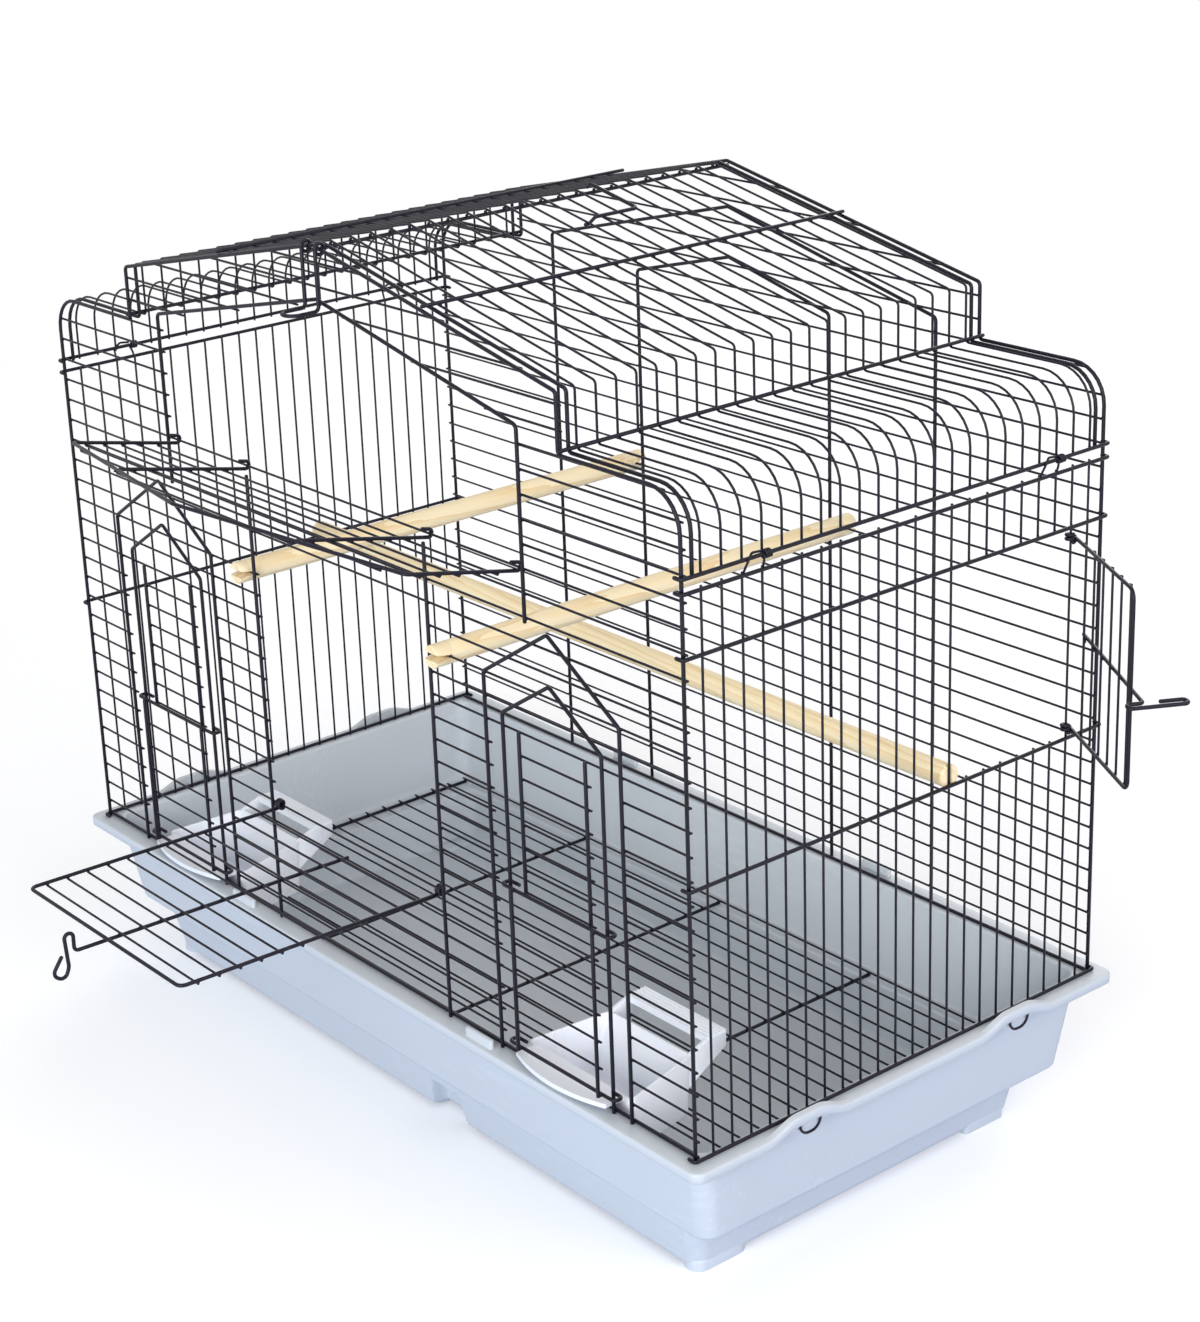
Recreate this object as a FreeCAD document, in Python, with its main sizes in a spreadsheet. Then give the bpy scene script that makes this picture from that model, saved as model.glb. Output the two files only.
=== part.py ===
import FreeCAD, Part
import math
import os

import Sketcher

# Bird flight cage: a gabled wire cage on a moulded tray, with two front doors,
# one side door, two feeder openings with sliding doors, cups, perches and a floor grille.
# X runs along the front, -Y faces the viewer, +Z is up, and Z = 0 is the plane of the feet.

DOC = FreeCAD.newDocument("flight_cage")
VECTOR = FreeCAD.Vector
SIZES = {
    # wire stock, measured across the flats of its six-sided section
    "thin_wire": 1.5,
    "heavy_wire": 2.4,
    "weld_gap": 0.05,
    "run_clearance": 0.5,
    "eye_clearance": 0.4,
    "overrun": 20,
    # tray
    "tray_height": 105,
    "tray_wall": 2.4,
    "rim_length": 666,
    "rim_depth": 352,
    "rim_corner": 26,
    "rim_lip": 6.5,
    "rim_thickness": 2.4,
    "basin_length": 639,
    "basin_depth": 323,
    "basin_corner": 18,
    "basin_length_draft": 14,
    "basin_depth_draft": 18.6,
    "ledge_height": 40,
    "block_length": 582,
    "block_depth": 280,
    "block_corner": 10,
    "block_length_draft": 11,
    "block_depth_draft": 13,
    "foot_height": 3,
    "foot_length": 42,
    "foot_width": 12,
    "foot_inset": 6,
    "centre_foot_length": 60,
    "centre_foot_width": 24,
    "recess_offset": 47,
    "recess_base": 36,
    "recess_top": 26,
    "recess_rise": 21.5,
    "recess_depth": 10,
    "hump_span": 176,
    "hump_base": 60,
    "hump_top": 28,
    "hump_height": 10.5,
    "hump_thickness": 5,
    "hump_inset": 3,
    "tab_span": 262,
    "tab_length": 26,
    "tab_top": 23,
    "tab_height": 9,
    "tab_thickness": 3.5,
    "tab_inset": 3.5,
    "clip_width": 16,
    "clip_drop": 17,
    "clip_inset": 9,
    # floor grille
    "grille_length": 606,
    "grille_depth": 290,
    "grille_wires": 19,
    "grille_crosses": 5,
    "grille_overhang": 1,
    "grille_end": 3,
    # cage walls and roof profile, heights above the tray rim
    "cage_length": 640,
    "cage_depth": 330,
    "pitch": 14.5,
    "end_wires": 22,
    "row_first": 12,
    "rows": 32,
    "wall_rail_rise": 336.6,
    "roof_rail_rise": 345,
    "shoulder_rise": 390.5,
    "shoulder_bend": 23,
    "riser_span": 445.4,
    "eave_rise": 425.8,
    "ridge_rise": 472.7,
    "slope_rail_span": 213.2,
    "hoop_inset": 7.4,
    "rail_hook": 6,
    "stub": 3.5,
    "clip_loop_span": 232,
    "clip_loop_width": 13,
    "clip_loop_rise": 21,
    "clip_loop_drop": 6,
    # upper front opening and its door
    "rows_under_upper_door": 21,
    "upper_opening_inset": 35.7,
    "upper_opening_shoulder": 400,
    "upper_opening_peak": 440,
    "upper_opening_foot": 285,
    "upper_door_gap": 7,
    "upper_door_side_gap": 6.1,
    "upper_door_peak_gap": 10,
    "upper_door_bar_span": 194,
    "upper_door_rows": 7,
    "upper_door_pitch": 13.5,
    "upper_door_angle": 77.5,
    # lower front opening and its door
    "rows_under_lower_door": 5,
    "rows_under_lower_top": 18,
    "lower_opening_width": 188,
    "upright_top_gap": 5.5,
    "lower_door_gap": 6,
    "lower_door_top_gap": 2.5,
    "lower_door_bend": 9,
    "lower_door_rows": 12,
    "lower_door_angle": 88.8,
    "door_row_stub": 1.6,
    "catch_start": 7,
    "catch_reach": 20,
    "catch_drop": 20,
    "catch_bend": 7,
    # side opening and its door
    "side_low_rise": 167.1,
    "side_high_rise": 300.5,
    "side_first": 36.25,
    "side_cells": 7,
    "side_door_gap": 5.5,
    "side_door_low_gap": 5.8,
    "side_door_high_gap": 7,
    "side_door_bend": 8,
    "side_door_wires": 6,
    "side_door_angle": 60,
    "side_latch_start": 8,
    "side_latch_reach": 9,
    "side_latch_loop": 30,
    "side_latch_height": 9,
    # feeders
    "feeder_offset": 206,
    "rows_under_feeder_top": 14,
    "rows_under_feeder_grid": 7,
    "feeder_arch_width": 120,
    "feeder_arch_shoulder": 245,
    "feeder_arch_peak": 283,
    "feeder_guide_inset": 16,
    "feeder_guide_shoulder": 224,
    "feeder_guide_peak": 252,
    "feeder_grid_inset": 14.5,
    "slide_high": 115,
    "slide_low": 11,
    "slide_side_inset": 7,
    "slide_rows": 5,
    "slide_hook_return": 2,
    # feeder cups
    "cup_width": 96,
    "cup_wall": 2.2,
    "cup_top": 6.4,
    "cup_front": 156.4,
    "cup_front_foot": 148.5,
    "cup_back": 57,
    "cup_back_foot": 63,
    "cup_floor_rise": 26,
    "lip_width": 82,
    "lip_height": 3.2,
    "lip_reach": 168,
    "lip_bow": 7,
    "lip_flat": 40,
    "lip_bend": 45,
    "cup_rail_height": 8,
    "cup_rail_depth": 11,
    "cup_slot_width": 70,
    "cup_slot_height": 3,
    # perches
    "perch_diameter": 14.3,
    "perch_span": 210,
    "rows_under_perch": 16,
    "perch_reach": 9,
    "perch_grip": 1.6,
    "perch_slack": 0.5,
    "long_perch_lift": 5.4,
    # back wall stiffeners
    "back_outer_shoulder": 398,
    "back_outer_peak": 442,
    "back_inner_shoulder": 385,
    "back_inner_peak": 408,
    # ridge latch
    "latch_width": 14,
    "latch_drop": 36.7,
    "latch_reach": 20,
}

SHEET = DOC.addObject("Spreadsheet::Sheet", "sizes")
for line, (alias, amount) in enumerate(SIZES.items(), 1):
    SHEET.set(f"A{line}", alias)
    SHEET.set(f"B{line}", str(amount))
    SHEET.setAlias(f"B{line}", alias)
DOC.recompute()

# Derived places, written once as expressions over the sheet.
RIM = "sizes.tray_height"
HALF_LENGTH = "sizes.cage_length / 2"
HALF_DEPTH = "sizes.cage_depth / 2"
HEAVY_FLAT = "sizes.heavy_wire / 2"
HEAVY_CORNER = "sizes.heavy_wire / 2 / cos(30)"
THIN_FLAT = "sizes.thin_wire / 2"
THIN_CORNER = "sizes.thin_wire / 2 / cos(30)"
ROW_DEPTH = f"({HALF_DEPTH} - {HEAVY_FLAT} - {THIN_FLAT})"
BAR_DEPTH = f"({HALF_DEPTH} - sizes.heavy_wire)"
RAIL_OUT = f"({HEAVY_CORNER} + {HEAVY_FLAT} + sizes.weld_gap)"
RAIL_X = f"({HALF_LENGTH} + {RAIL_OUT})"
END_X = f"({RAIL_X} - {HEAVY_FLAT} - {THIN_FLAT})"
ROOF_OUT = f"({HEAVY_CORNER} - {THIN_FLAT})"
END_SPAN = "sizes.pitch * (sizes.end_wires - 1)"
EYE_HOLE = f"({THIN_CORNER} + sizes.eye_clearance)"
EYE_RADIUS = f"({EYE_HOLE} + {HEAVY_FLAT})"
DOOR_ROW = f"({EYE_RADIUS} + {HEAVY_FLAT} + {THIN_FLAT})"
CATCH_LAYER = f"({DOOR_ROW} + {THIN_FLAT} + {HEAVY_FLAT})"
HINGE_Y = f"-{ROW_DEPTH}"
LEDGE_TOP = "(sizes.ledge_height + sizes.tray_wall)"
GRILLE_CROSS_Z = f"({LEDGE_TOP} + {HEAVY_FLAT} + sizes.weld_gap)"
GRILLE_WIRE_Z = f"({GRILLE_CROSS_Z} + {HEAVY_FLAT} + {THIN_FLAT})"
CUP_FOOT = f"({GRILLE_WIRE_Z} + {THIN_FLAT} + sizes.weld_gap)"
HOOP_DEPTH = f"({HALF_DEPTH} - sizes.hoop_inset)"
SLIDE_FRONT = f"({HALF_DEPTH} + {HEAVY_FLAT} + sizes.run_clearance + {HEAVY_CORNER})"
SLIDE_BACK = f"({HALF_DEPTH} - {HEAVY_FLAT} - sizes.run_clearance - {HEAVY_CORNER})"
SLIDE_SIDE = f"({SLIDE_FRONT} + {HEAVY_CORNER} + {HEAVY_FLAT})"
SLIDE_ROW = f"({SLIDE_SIDE} - {HEAVY_FLAT} - {THIN_FLAT})"
SLIDE_HOOK = f"(2 * {HEAVY_CORNER} + sizes.run_clearance)"
SIDE_HINGE_Y = "(sizes.side_first + sizes.pitch * sizes.side_cells)"
SIDE_DOOR_WIDTH = "(sizes.pitch * sizes.side_cells - sizes.side_door_gap)"
UPPER_WIDTH = "(sizes.riser_span - 2 * sizes.upper_opening_inset)"
UPPER_DOOR_WIDTH = f"({UPPER_WIDTH} - 2 * sizes.upper_door_gap)"
UPPER_HINGE_RISE = "(sizes.row_first + sizes.pitch * sizes.rows_under_upper_door)"
UPPER_DOOR_SIDE = f"(sizes.upper_opening_shoulder - {UPPER_HINGE_RISE} - sizes.upper_door_side_gap)"
UPPER_DOOR_PEAK = f"(sizes.upper_opening_peak - {UPPER_HINGE_RISE} - sizes.upper_door_peak_gap)"
LOWER_DOOR_WIDTH = "(sizes.lower_opening_width - 2 * sizes.lower_door_gap)"
LOWER_ROWS = "(sizes.rows_under_lower_top - sizes.rows_under_lower_door)"
LOWER_DOOR_LENGTH = f"(sizes.pitch * {LOWER_ROWS} - sizes.lower_door_top_gap)"
GUIDE_WIDTH = "(sizes.feeder_arch_width - 2 * sizes.feeder_guide_inset)"
GRID_WIDTH = f"({GUIDE_WIDTH} - 2 * sizes.feeder_grid_inset)"

PLANES = {"X": "YZ_Plane", "Y": "XZ_Plane", "Z": "XY_Plane"}
ACROSS = {"X": "YZ", "Y": "XZ", "Z": "XY"}
NODES = []
BEND_STEPS = 3
RING_STEPS = 6


def number(expression):
    """Value of an expression with the present sizes."""
    return float(SHEET.evalExpression(expression))


def height(rise):
    """Height above the feet of a level given above the tray rim."""
    return f"({RIM} + {rise})"


def row_level(index):
    """Height of a wall row, counted from the lowest."""
    return height(f"sizes.row_first + sizes.pitch * {index}")


def node(item, name):
    """Give a finished sub-part its name and keep it for export."""
    item.Label = name
    NODES.append(item)
    return item


def new_body(name):
    """Empty body that may hold several separate solids."""
    body = DOC.addObject("PartDesign::Body", f"{name}_body")
    body.AllowCompound = True
    return body


def origin(body, role):
    """Origin plane or axis of a body."""
    return next(item for item in body.Origin.OriginFeatures if item.Role == role)


def sketch_on(body, name, axis, level="0"):
    """Sketch square to an axis, at a level along it."""
    sketch = body.newObject("Sketcher::SketchObject", name)
    sketch.AttachmentSupport = [(origin(body, PLANES[axis]), "")]
    sketch.MapMode = "FlatFace"
    sign = "-" if axis == "Y" else ""
    sketch.setExpression("AttachmentOffset.Base.z", f"{sign}({level})")
    return sketch


def hold(sketch, kind, *where, size):
    """Add a dimension that follows an expression."""
    index = sketch.addConstraint(Sketcher.Constraint(kind, *where, number(size)))
    sketch.setExpression(f"Constraints[{index}]", size)


def hold_point(sketch, geometry, end, place):
    """Fix a point of a sketch by its two coordinates."""
    hold(sketch, "DistanceX", -1, 1, geometry, end, size=place[0])
    hold(sketch, "DistanceY", -1, 1, geometry, end, size=place[1])


def outline(sketch, points, bends=None, closed=False):
    """Run of straight stretches through points, with arcs at the named corners."""
    bends = bends or {}
    places = [VECTOR(number(u), number(v), 0) for u, v in points]
    count = len(points) if closed else len(points) - 1
    for index in range(count):
        sketch.addGeometry(Part.LineSegment(places[index], places[(index + 1) % len(points)]))
    for index in range(count if closed else count - 1):
        sketch.addConstraint(Sketcher.Constraint("Coincident", index, 2, (index + 1) % count, 1))
    for index, point in enumerate(points):
        if index < count:
            hold_point(sketch, index, 1, point)
        else:
            hold_point(sketch, index - 1, 2, point)
    for corner, radius in bends.items():
        before = (corner - 1) % count
        start = places[corner] + (places[corner - 1] - places[corner]) / 2
        finish = places[corner] + (places[(corner + 1) % len(points)] - places[corner]) / 2
        arc = sketch.GeometryCount
        sketch.fillet(before, corner, start, finish, number(radius), True, True)
        hold(sketch, "Radius", arc, size=radius)


def hexagon(sketch, place, across, flat_along_u):
    """Six-sided wire section about a place, with two flats square to one sketch axis."""
    turn = math.pi / 2 if flat_along_u else 0.0
    centre = VECTOR(number(place[0]), number(place[1]), 0)
    radius = number(across) / 2 / math.cos(math.pi / 6)
    corners = []
    for index in range(6):
        angle = turn + index * math.pi / 3
        corners.append(centre + VECTOR(math.cos(angle), math.sin(angle), 0) * radius)
    base = sketch.GeometryCount
    for index in range(6):
        sketch.addGeometry(Part.LineSegment(corners[index], corners[(index + 1) % 6]))
    ring = sketch.addGeometry(Part.Circle(centre, VECTOR(0, 0, 1), radius), True)
    for index in range(6):
        follower = base + (index + 1) % 6
        sketch.addConstraint(Sketcher.Constraint("Coincident", base + index, 2, follower, 1))
        sketch.addConstraint(Sketcher.Constraint("PointOnObject", base + index, 1, ring))
    for index in range(1, 6):
        sketch.addConstraint(Sketcher.Constraint("Equal", base, base + index))
    level = "Vertical" if flat_along_u else "Horizontal"
    sketch.addConstraint(Sketcher.Constraint(level, base + 1))
    hold(sketch, "Diameter", ring, size=f"{across} / cos(30)")
    hold_point(sketch, ring, 3, place)


def circle(sketch, place, radius):
    """Circle about a place."""
    centre = VECTOR(number(place[0]), number(place[1]), 0)
    ring = sketch.addGeometry(Part.Circle(centre, VECTOR(0, 0, 1), number(radius)))
    hold(sketch, "Radius", ring, size=radius)
    hold_point(sketch, ring, 3, place)


def rounded_rectangle(sketch, length, width, corner):
    """Rectangle about the sketch's origin with four equal round corners."""
    half_u = number(length) / 2
    half_v = number(width) / 2
    radius = number(corner)
    side_u = half_u - radius
    side_v = half_v - radius
    ends = [
        (VECTOR(-side_u, -half_v, 0), VECTOR(side_u, -half_v, 0)),
        (VECTOR(half_u, -side_v, 0), VECTOR(half_u, side_v, 0)),
        (VECTOR(side_u, half_v, 0), VECTOR(-side_u, half_v, 0)),
        (VECTOR(-half_u, side_v, 0), VECTOR(-half_u, -side_v, 0)),
    ]
    centres = [(side_u, -side_v), (side_u, side_v), (-side_u, side_v), (-side_u, -side_v)]
    for start, finish in ends:
        sketch.addGeometry(Part.LineSegment(start, finish))
    for index, (u, v) in enumerate(centres):
        ring = Part.Circle(VECTOR(u, v, 0), VECTOR(0, 0, 1), radius)
        turn = (index - 1) * math.pi / 2
        sketch.addGeometry(Part.ArcOfCircle(ring, turn, turn + math.pi / 2))
    for index in range(4):
        sketch.addConstraint(Sketcher.Constraint("Tangent", index, 2, 4 + index, 1))
        sketch.addConstraint(Sketcher.Constraint("Tangent", 4 + index, 2, (index + 1) % 4, 1))
    for index in range(1, 4):
        sketch.addConstraint(Sketcher.Constraint("Equal", 4, 4 + index))
    sketch.addConstraint(Sketcher.Constraint("Horizontal", 0))
    sketch.addConstraint(Sketcher.Constraint("Vertical", 1))
    hold(sketch, "Radius", 4, size=corner)
    hold(sketch, "DistanceY", -1, 1, 0, 1, size=f"-({width}) / 2")
    hold(sketch, "DistanceX", -1, 1, 1, 1, size=f"({length}) / 2")
    hold(sketch, "DistanceY", -1, 1, 2, 1, size=f"({width}) / 2")
    hold(sketch, "DistanceX", -1, 1, 3, 1, size=f"-({length}) / 2")


def pad(body, sketch, length, middle=False, back=False):
    """Raise a sketch into the body."""
    feature = body.newObject("PartDesign::Pad", f"{sketch.Name}_pad")
    feature.Profile = sketch
    feature.setExpression("Length", length)
    feature.Midplane = middle
    feature.Reversed = back
    return feature


def pocket(body, sketch, length, middle=False, back=False):
    """Cut a sketch out of the body."""
    feature = body.newObject("PartDesign::Pocket", f"{sketch.Name}_pocket")
    feature.Profile = sketch
    feature.setExpression("Length", length)
    feature.Midplane = middle
    feature.Reversed = back
    return feature


def loft(body, kind, sketches):
    """Ruled loft through sketches, added to the body or cut from it."""
    feature = body.newObject(f"PartDesign::{kind}", f"{sketches[0].Name}_loft")
    feature.Profile = sketches[0]
    feature.Sections = sketches[1:]
    feature.Ruled = True
    return feature


def repeat(body, feature, axis, spacing, count):
    """Copies of a feature in a row along an axis."""
    copies = body.newObject("PartDesign::LinearPattern", f"{feature.Name}_copies")
    copies.Originals = [feature]
    copies.Direction = (origin(body, f"{axis}_Axis"), [""])
    copies.Mode = "Spacing"
    copies.setExpression("Offset", spacing)
    copies.setExpression("Occurrences", count)
    body.Tip = copies
    return copies


def straight(body, name, axis, start, length, place, stock, flat):
    """Straight wire along an axis, with flats facing another axis."""
    sketch = sketch_on(body, f"{name}_section", axis, start)
    hexagon(sketch, place, stock, ACROSS[axis][0] == flat)
    return pad(body, sketch, length, back=axis == "Y")


def wire_row(name, axis, start, length, place, stock, flat, along, spacing, count):
    """Body of equal parallel wires."""
    body = new_body(name)
    first = straight(body, name, axis, start, length, place, stock, flat)
    repeat(body, first, along, spacing, count)
    return body


def bent(body, name, axis, level, points, stock, bends=None, first="v", flat_bend=False):
    """Wire bent in the plane square to an axis; the first stretch runs along that sketch axis."""
    path = sketch_on(body, f"{name}_path", axis, level)
    outline(path, points, bends)
    across, up = ACROSS[axis]
    along = up if first == "v" else across
    other = across if first == "v" else up
    start = dict(zip((across, up), points[0]))
    section = sketch_on(body, f"{name}_section", along, start[along])
    places = {axis: level, other: start[other]}
    frame = ACROSS[along]
    flat = other if flat_bend else axis
    hexagon(section, (places[frame[0]], places[frame[1]]), stock, frame[0] == flat)
    feature = body.newObject("PartDesign::AdditivePipe", f"{name}_pipe")
    feature.Profile = section
    feature.Spine = (path, [])
    feature.Transition = "Right corner"
    return feature


def bent_wire(name, axis, level, points, stock, bends=None, first="v", flat_bend=False):
    """Body that holds one bent wire."""
    body = new_body(name)
    bent(body, name, axis, level, points, stock, bends, first, flat_bend)
    return body


def box(name, low, high):
    """Plain block between two corners."""
    block = DOC.addObject("Part::Box", name)
    for side, letter, from_here, to_here in zip(("Length", "Width", "Height"), "xyz", low, high):
        block.setExpression(side, f"({to_here}) - ({from_here})")
        block.setExpression(f"Placement.Base.{letter}", from_here)
    return block


def cut(name, base, tools):
    """Shape with other shapes taken away."""
    tool = tools[0]
    if len(tools) > 1:
        tool = DOC.addObject("Part::MultiFuse", f"{name}_tools")
        tool.Shapes = tools
    result = DOC.addObject("Part::Cut", f"{name}_cut")
    result.Base = base
    result.Tool = tool
    return result


def group(name, items):
    """Several solids kept as one sub-part."""
    result = DOC.addObject("Part::Compound", f"{name}_group")
    result.Links = items
    return result


def mirrored(item, name):
    """The same piece on the other side of the middle plane."""
    result = DOC.addObject("Part::Mirroring", f"{name}_mirror")
    result.Source = item
    result.Normal = VECTOR(1, 0, 0)
    return node(result, name)


def swing(item, axis, place, angle):
    """Place a door, modelled shut about its hinge, at its hinge and opened."""
    item.Placement = FreeCAD.Placement(VECTOR(), FreeCAD.Rotation(axis, number(angle)))
    for letter, expression in zip("xyz", place):
        item.setExpression(f"Placement.Base.{letter}", expression)
    item.setExpression("Placement.Rotation.Angle", angle)
    return item


def eyes(body, name, axis, level, hole, stock, copies=None):
    """Round hinge eyes about the body's own axis, square to the wires that end in them."""
    sketch = sketch_on(body, f"{name}_eye", axis, level)
    circle(sketch, ("0", "0"), f"{hole} - sizes.weld_gap")
    hexagon(sketch, ("0", "0"), f"(2 * ({hole} + {stock} + sizes.weld_gap))", axis == "Z")
    ring = pad(body, sketch, stock, middle=True)
    if copies:
        repeat(body, ring, axis, *copies)
    return ring


def bend_points(centre, radius, first_turn, total_turn, steps):
    """Corners of a bend made of short straight stretches that touch its circle."""
    points = []
    for step in range(steps):
        angle = f"({first_turn} + {total_turn} * {step} / {steps} + {total_turn} / {steps} / 2)"
        reach = f"{radius} / cos({total_turn} / {steps} / 2)"
        points.append((f"{centre[0]} + {reach} * cos({angle})", f"{centre[1]} + {reach} * sin({angle})"))
    return points


def roof_profile(foot, outset="0"):
    """Gable line from one foot over the ridge to the other, moved outwards by an outset."""
    side = f"({HALF_LENGTH} + {outset})"
    riser = f"(sizes.riser_span / 2 + {outset})"
    shoulder = height(f"sizes.shoulder_rise + {outset}")
    eave = height(f"sizes.eave_rise + {outset}")
    radius = f"(sizes.shoulder_bend + {outset})"
    centre = (f"{HALF_LENGTH} - sizes.shoulder_bend", height("sizes.shoulder_rise - sizes.shoulder_bend"))
    bend = bend_points(centre, radius, 90, -90, BEND_STEPS)
    right = [(riser, eave), (riser, shoulder), *bend, (side, foot)]
    left = [(f"-({u})", v) for u, v in reversed(right)]
    return left + [("0", height(f"sizes.ridge_rise + {outset}"))] + right


def house(width, foot, shoulder, peak, centre="0"):
    """House-shaped run: up one side, over a peak and down the other."""
    left = f"({centre} - {width} / 2)"
    right = f"({centre} + {width} / 2)"
    return [(left, foot), (left, shoulder), (centre, peak), (right, shoulder), (right, foot)]


def make_tray():
    """Moulded tray: rim with a lip, tapered basin, ledge and a narrower block on feet."""
    body = new_body("tray")

    def plan(name, level, length, depth, corner):
        sketch = sketch_on(body, name, "Z", level)
        rounded_rectangle(sketch, length, depth, corner)
        return sketch

    wall = "2 * sizes.tray_wall"
    lip_level = f"{RIM} - sizes.rim_lip"
    rim = plan("rim", lip_level, "sizes.rim_length", "sizes.rim_depth", "sizes.rim_corner")
    pad(body, rim, "sizes.rim_lip")
    under = plan("rim_under", lip_level, f"sizes.rim_length - {wall}", f"sizes.rim_depth - {wall}",
                 "sizes.rim_corner - sizes.tray_wall")
    pocket(body, under, "sizes.rim_lip - sizes.rim_thickness", back=True)
    flange = f"{RIM} - sizes.rim_thickness"
    low_length = "sizes.basin_length - sizes.basin_length_draft"
    low_depth = "sizes.basin_depth - sizes.basin_depth_draft"
    upper = [
        plan("basin_top", flange, "sizes.basin_length", "sizes.basin_depth", "sizes.basin_corner"),
        plan("basin_foot", "sizes.ledge_height", low_length, low_depth, "sizes.basin_corner"),
    ]
    loft(body, "AdditiveLoft", upper)
    foot_length = "sizes.block_length - sizes.block_length_draft"
    foot_depth = "sizes.block_depth - sizes.block_depth_draft"
    lower = [
        plan("block_top", "sizes.ledge_height", "sizes.block_length", "sizes.block_depth",
             "sizes.block_corner"),
        plan("block_foot", "sizes.foot_height", foot_length, foot_depth, "sizes.block_corner"),
    ]
    loft(body, "AdditiveLoft", lower)
    inside_corner = "sizes.basin_corner - sizes.tray_wall"
    hollow = [
        plan("hollow_top", RIM, f"sizes.basin_length - {wall}", f"sizes.basin_depth - {wall}",
             inside_corner),
        plan("hollow_foot", LEDGE_TOP, f"{low_length} - {wall}", f"{low_depth} - {wall}", inside_corner),
    ]
    loft(body, "SubtractiveLoft", hollow)
    well_corner = "sizes.block_corner - sizes.tray_wall"
    well = [
        plan("well_top", LEDGE_TOP, f"sizes.block_length - {wall}", f"sizes.block_depth - {wall}",
             well_corner),
        plan("well_foot", "sizes.foot_height + sizes.tray_wall", f"{foot_length} - {wall}",
             f"{foot_depth} - {wall}", well_corner),
    ]
    loft(body, "SubtractiveLoft", well)
    add_recess(body, foot_depth)
    feet = sketch_on(body, "feet", "Z")
    add_feet(feet, foot_length, foot_depth)
    pad(body, feet, "sizes.foot_height")
    for end, side in (("right", ""), ("left", "-")):
        face = f"{side}(sizes.rim_length / 2 - sizes.hump_inset)"
        humps = sketch_on(body, f"{end}_humps", "X", face)
        for place in ("sizes.hump_span / 2", "-sizes.hump_span / 2"):
            add_hump(humps, place, "sizes.hump_base", "sizes.hump_top", "sizes.hump_height")
        pad(body, humps, "sizes.hump_thickness", back=side == "")
    for wall, side in (("back", ""), ("front", "-")):
        face = f"{side}(sizes.rim_depth / 2 - sizes.tab_inset)"
        tabs = sketch_on(body, f"{wall}_tabs", "Y", face)
        for place in ("sizes.tab_span / 2", "-sizes.tab_span / 2"):
            add_hump(tabs, place, "sizes.tab_length", "sizes.tab_top", "sizes.tab_height")
        pad(body, tabs, "sizes.tab_thickness", back=side == "-")
    return node(body, "tray")


def add_loop(sketch, points):
    """One more closed outline in a sketch that may already hold others."""
    base = sketch.GeometryCount
    places = [VECTOR(number(u), number(v), 0) for u, v in points]
    count = len(points)
    for index in range(count):
        sketch.addGeometry(Part.LineSegment(places[index], places[(index + 1) % count]))
    for index in range(count):
        follower = base + (index + 1) % count
        sketch.addConstraint(Sketcher.Constraint("Coincident", base + index, 2, follower, 1))
    for index, point in enumerate(points):
        hold_point(sketch, base + index, 1, point)


def add_recess(body, depth):
    """Finger recess in the lower edge of the front wall, with its own wall inside the tray."""
    face = f"-({depth}) / 2"

    def opening(name, level, wall):
        sketch = sketch_on(body, name, "Y", level)
        low = "sizes.foot_height"
        high = f"sizes.foot_height + sizes.recess_rise + {wall}"
        base = f"(sizes.recess_base / 2 + {wall})"
        top = f"(sizes.recess_top / 2 + {wall})"
        add_loop(sketch, [
            (f"sizes.recess_offset - {base}", low),
            (f"sizes.recess_offset + {base}", low),
            (f"sizes.recess_offset + {top}", high),
            (f"sizes.recess_offset - {top}", high),
        ])
        return sketch

    housing = opening("recess_housing", f"{face} + sizes.tray_wall / 2", "sizes.tray_wall")
    pad(body, housing, "sizes.recess_depth + sizes.tray_wall / 2", back=True)
    hollow = opening("recess_hollow", f"{face} - sizes.overrun", "0")
    pocket(body, hollow, "sizes.overrun + sizes.recess_depth")


def add_feet(sketch, length, depth):
    """Four long foot pads near the corners of the tray's underside and one in its middle."""
    half_length = "sizes.centre_foot_length / 2"
    half_width = "sizes.centre_foot_width / 2"
    add_loop(sketch, [
        (f"-{half_length}", f"-{half_width}"),
        (half_length, f"-{half_width}"),
        (half_length, half_width),
        (f"-{half_length}", half_width),
    ])
    for side_x in ("", "-"):
        for side_y in ("", "-"):
            outer_x = f"{side_x}(({length}) / 2 - sizes.foot_inset)"
            inner_x = f"{side_x}(({length}) / 2 - sizes.foot_inset - sizes.foot_width)"
            outer_y = f"{side_y}(({depth}) / 2 - sizes.foot_inset)"
            inner_y = f"{side_y}(({depth}) / 2 - sizes.foot_inset - sizes.foot_length)"
            add_loop(sketch, [
                (outer_x, outer_y),
                (inner_x, outer_y),
                (inner_x, inner_y),
                (outer_x, inner_y),
            ])


def add_hump(sketch, centre, base, top, rise):
    """Raised part of the rim with sloping ends."""
    low = f"{RIM} - sizes.rim_thickness / 2"
    high = height(rise)
    add_loop(sketch, [
        (f"{centre} - {base} / 2", low),
        (f"{centre} + {base} / 2", low),
        (f"{centre} + {top} / 2", high),
        (f"{centre} - {top} / 2", high),
    ])


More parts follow.
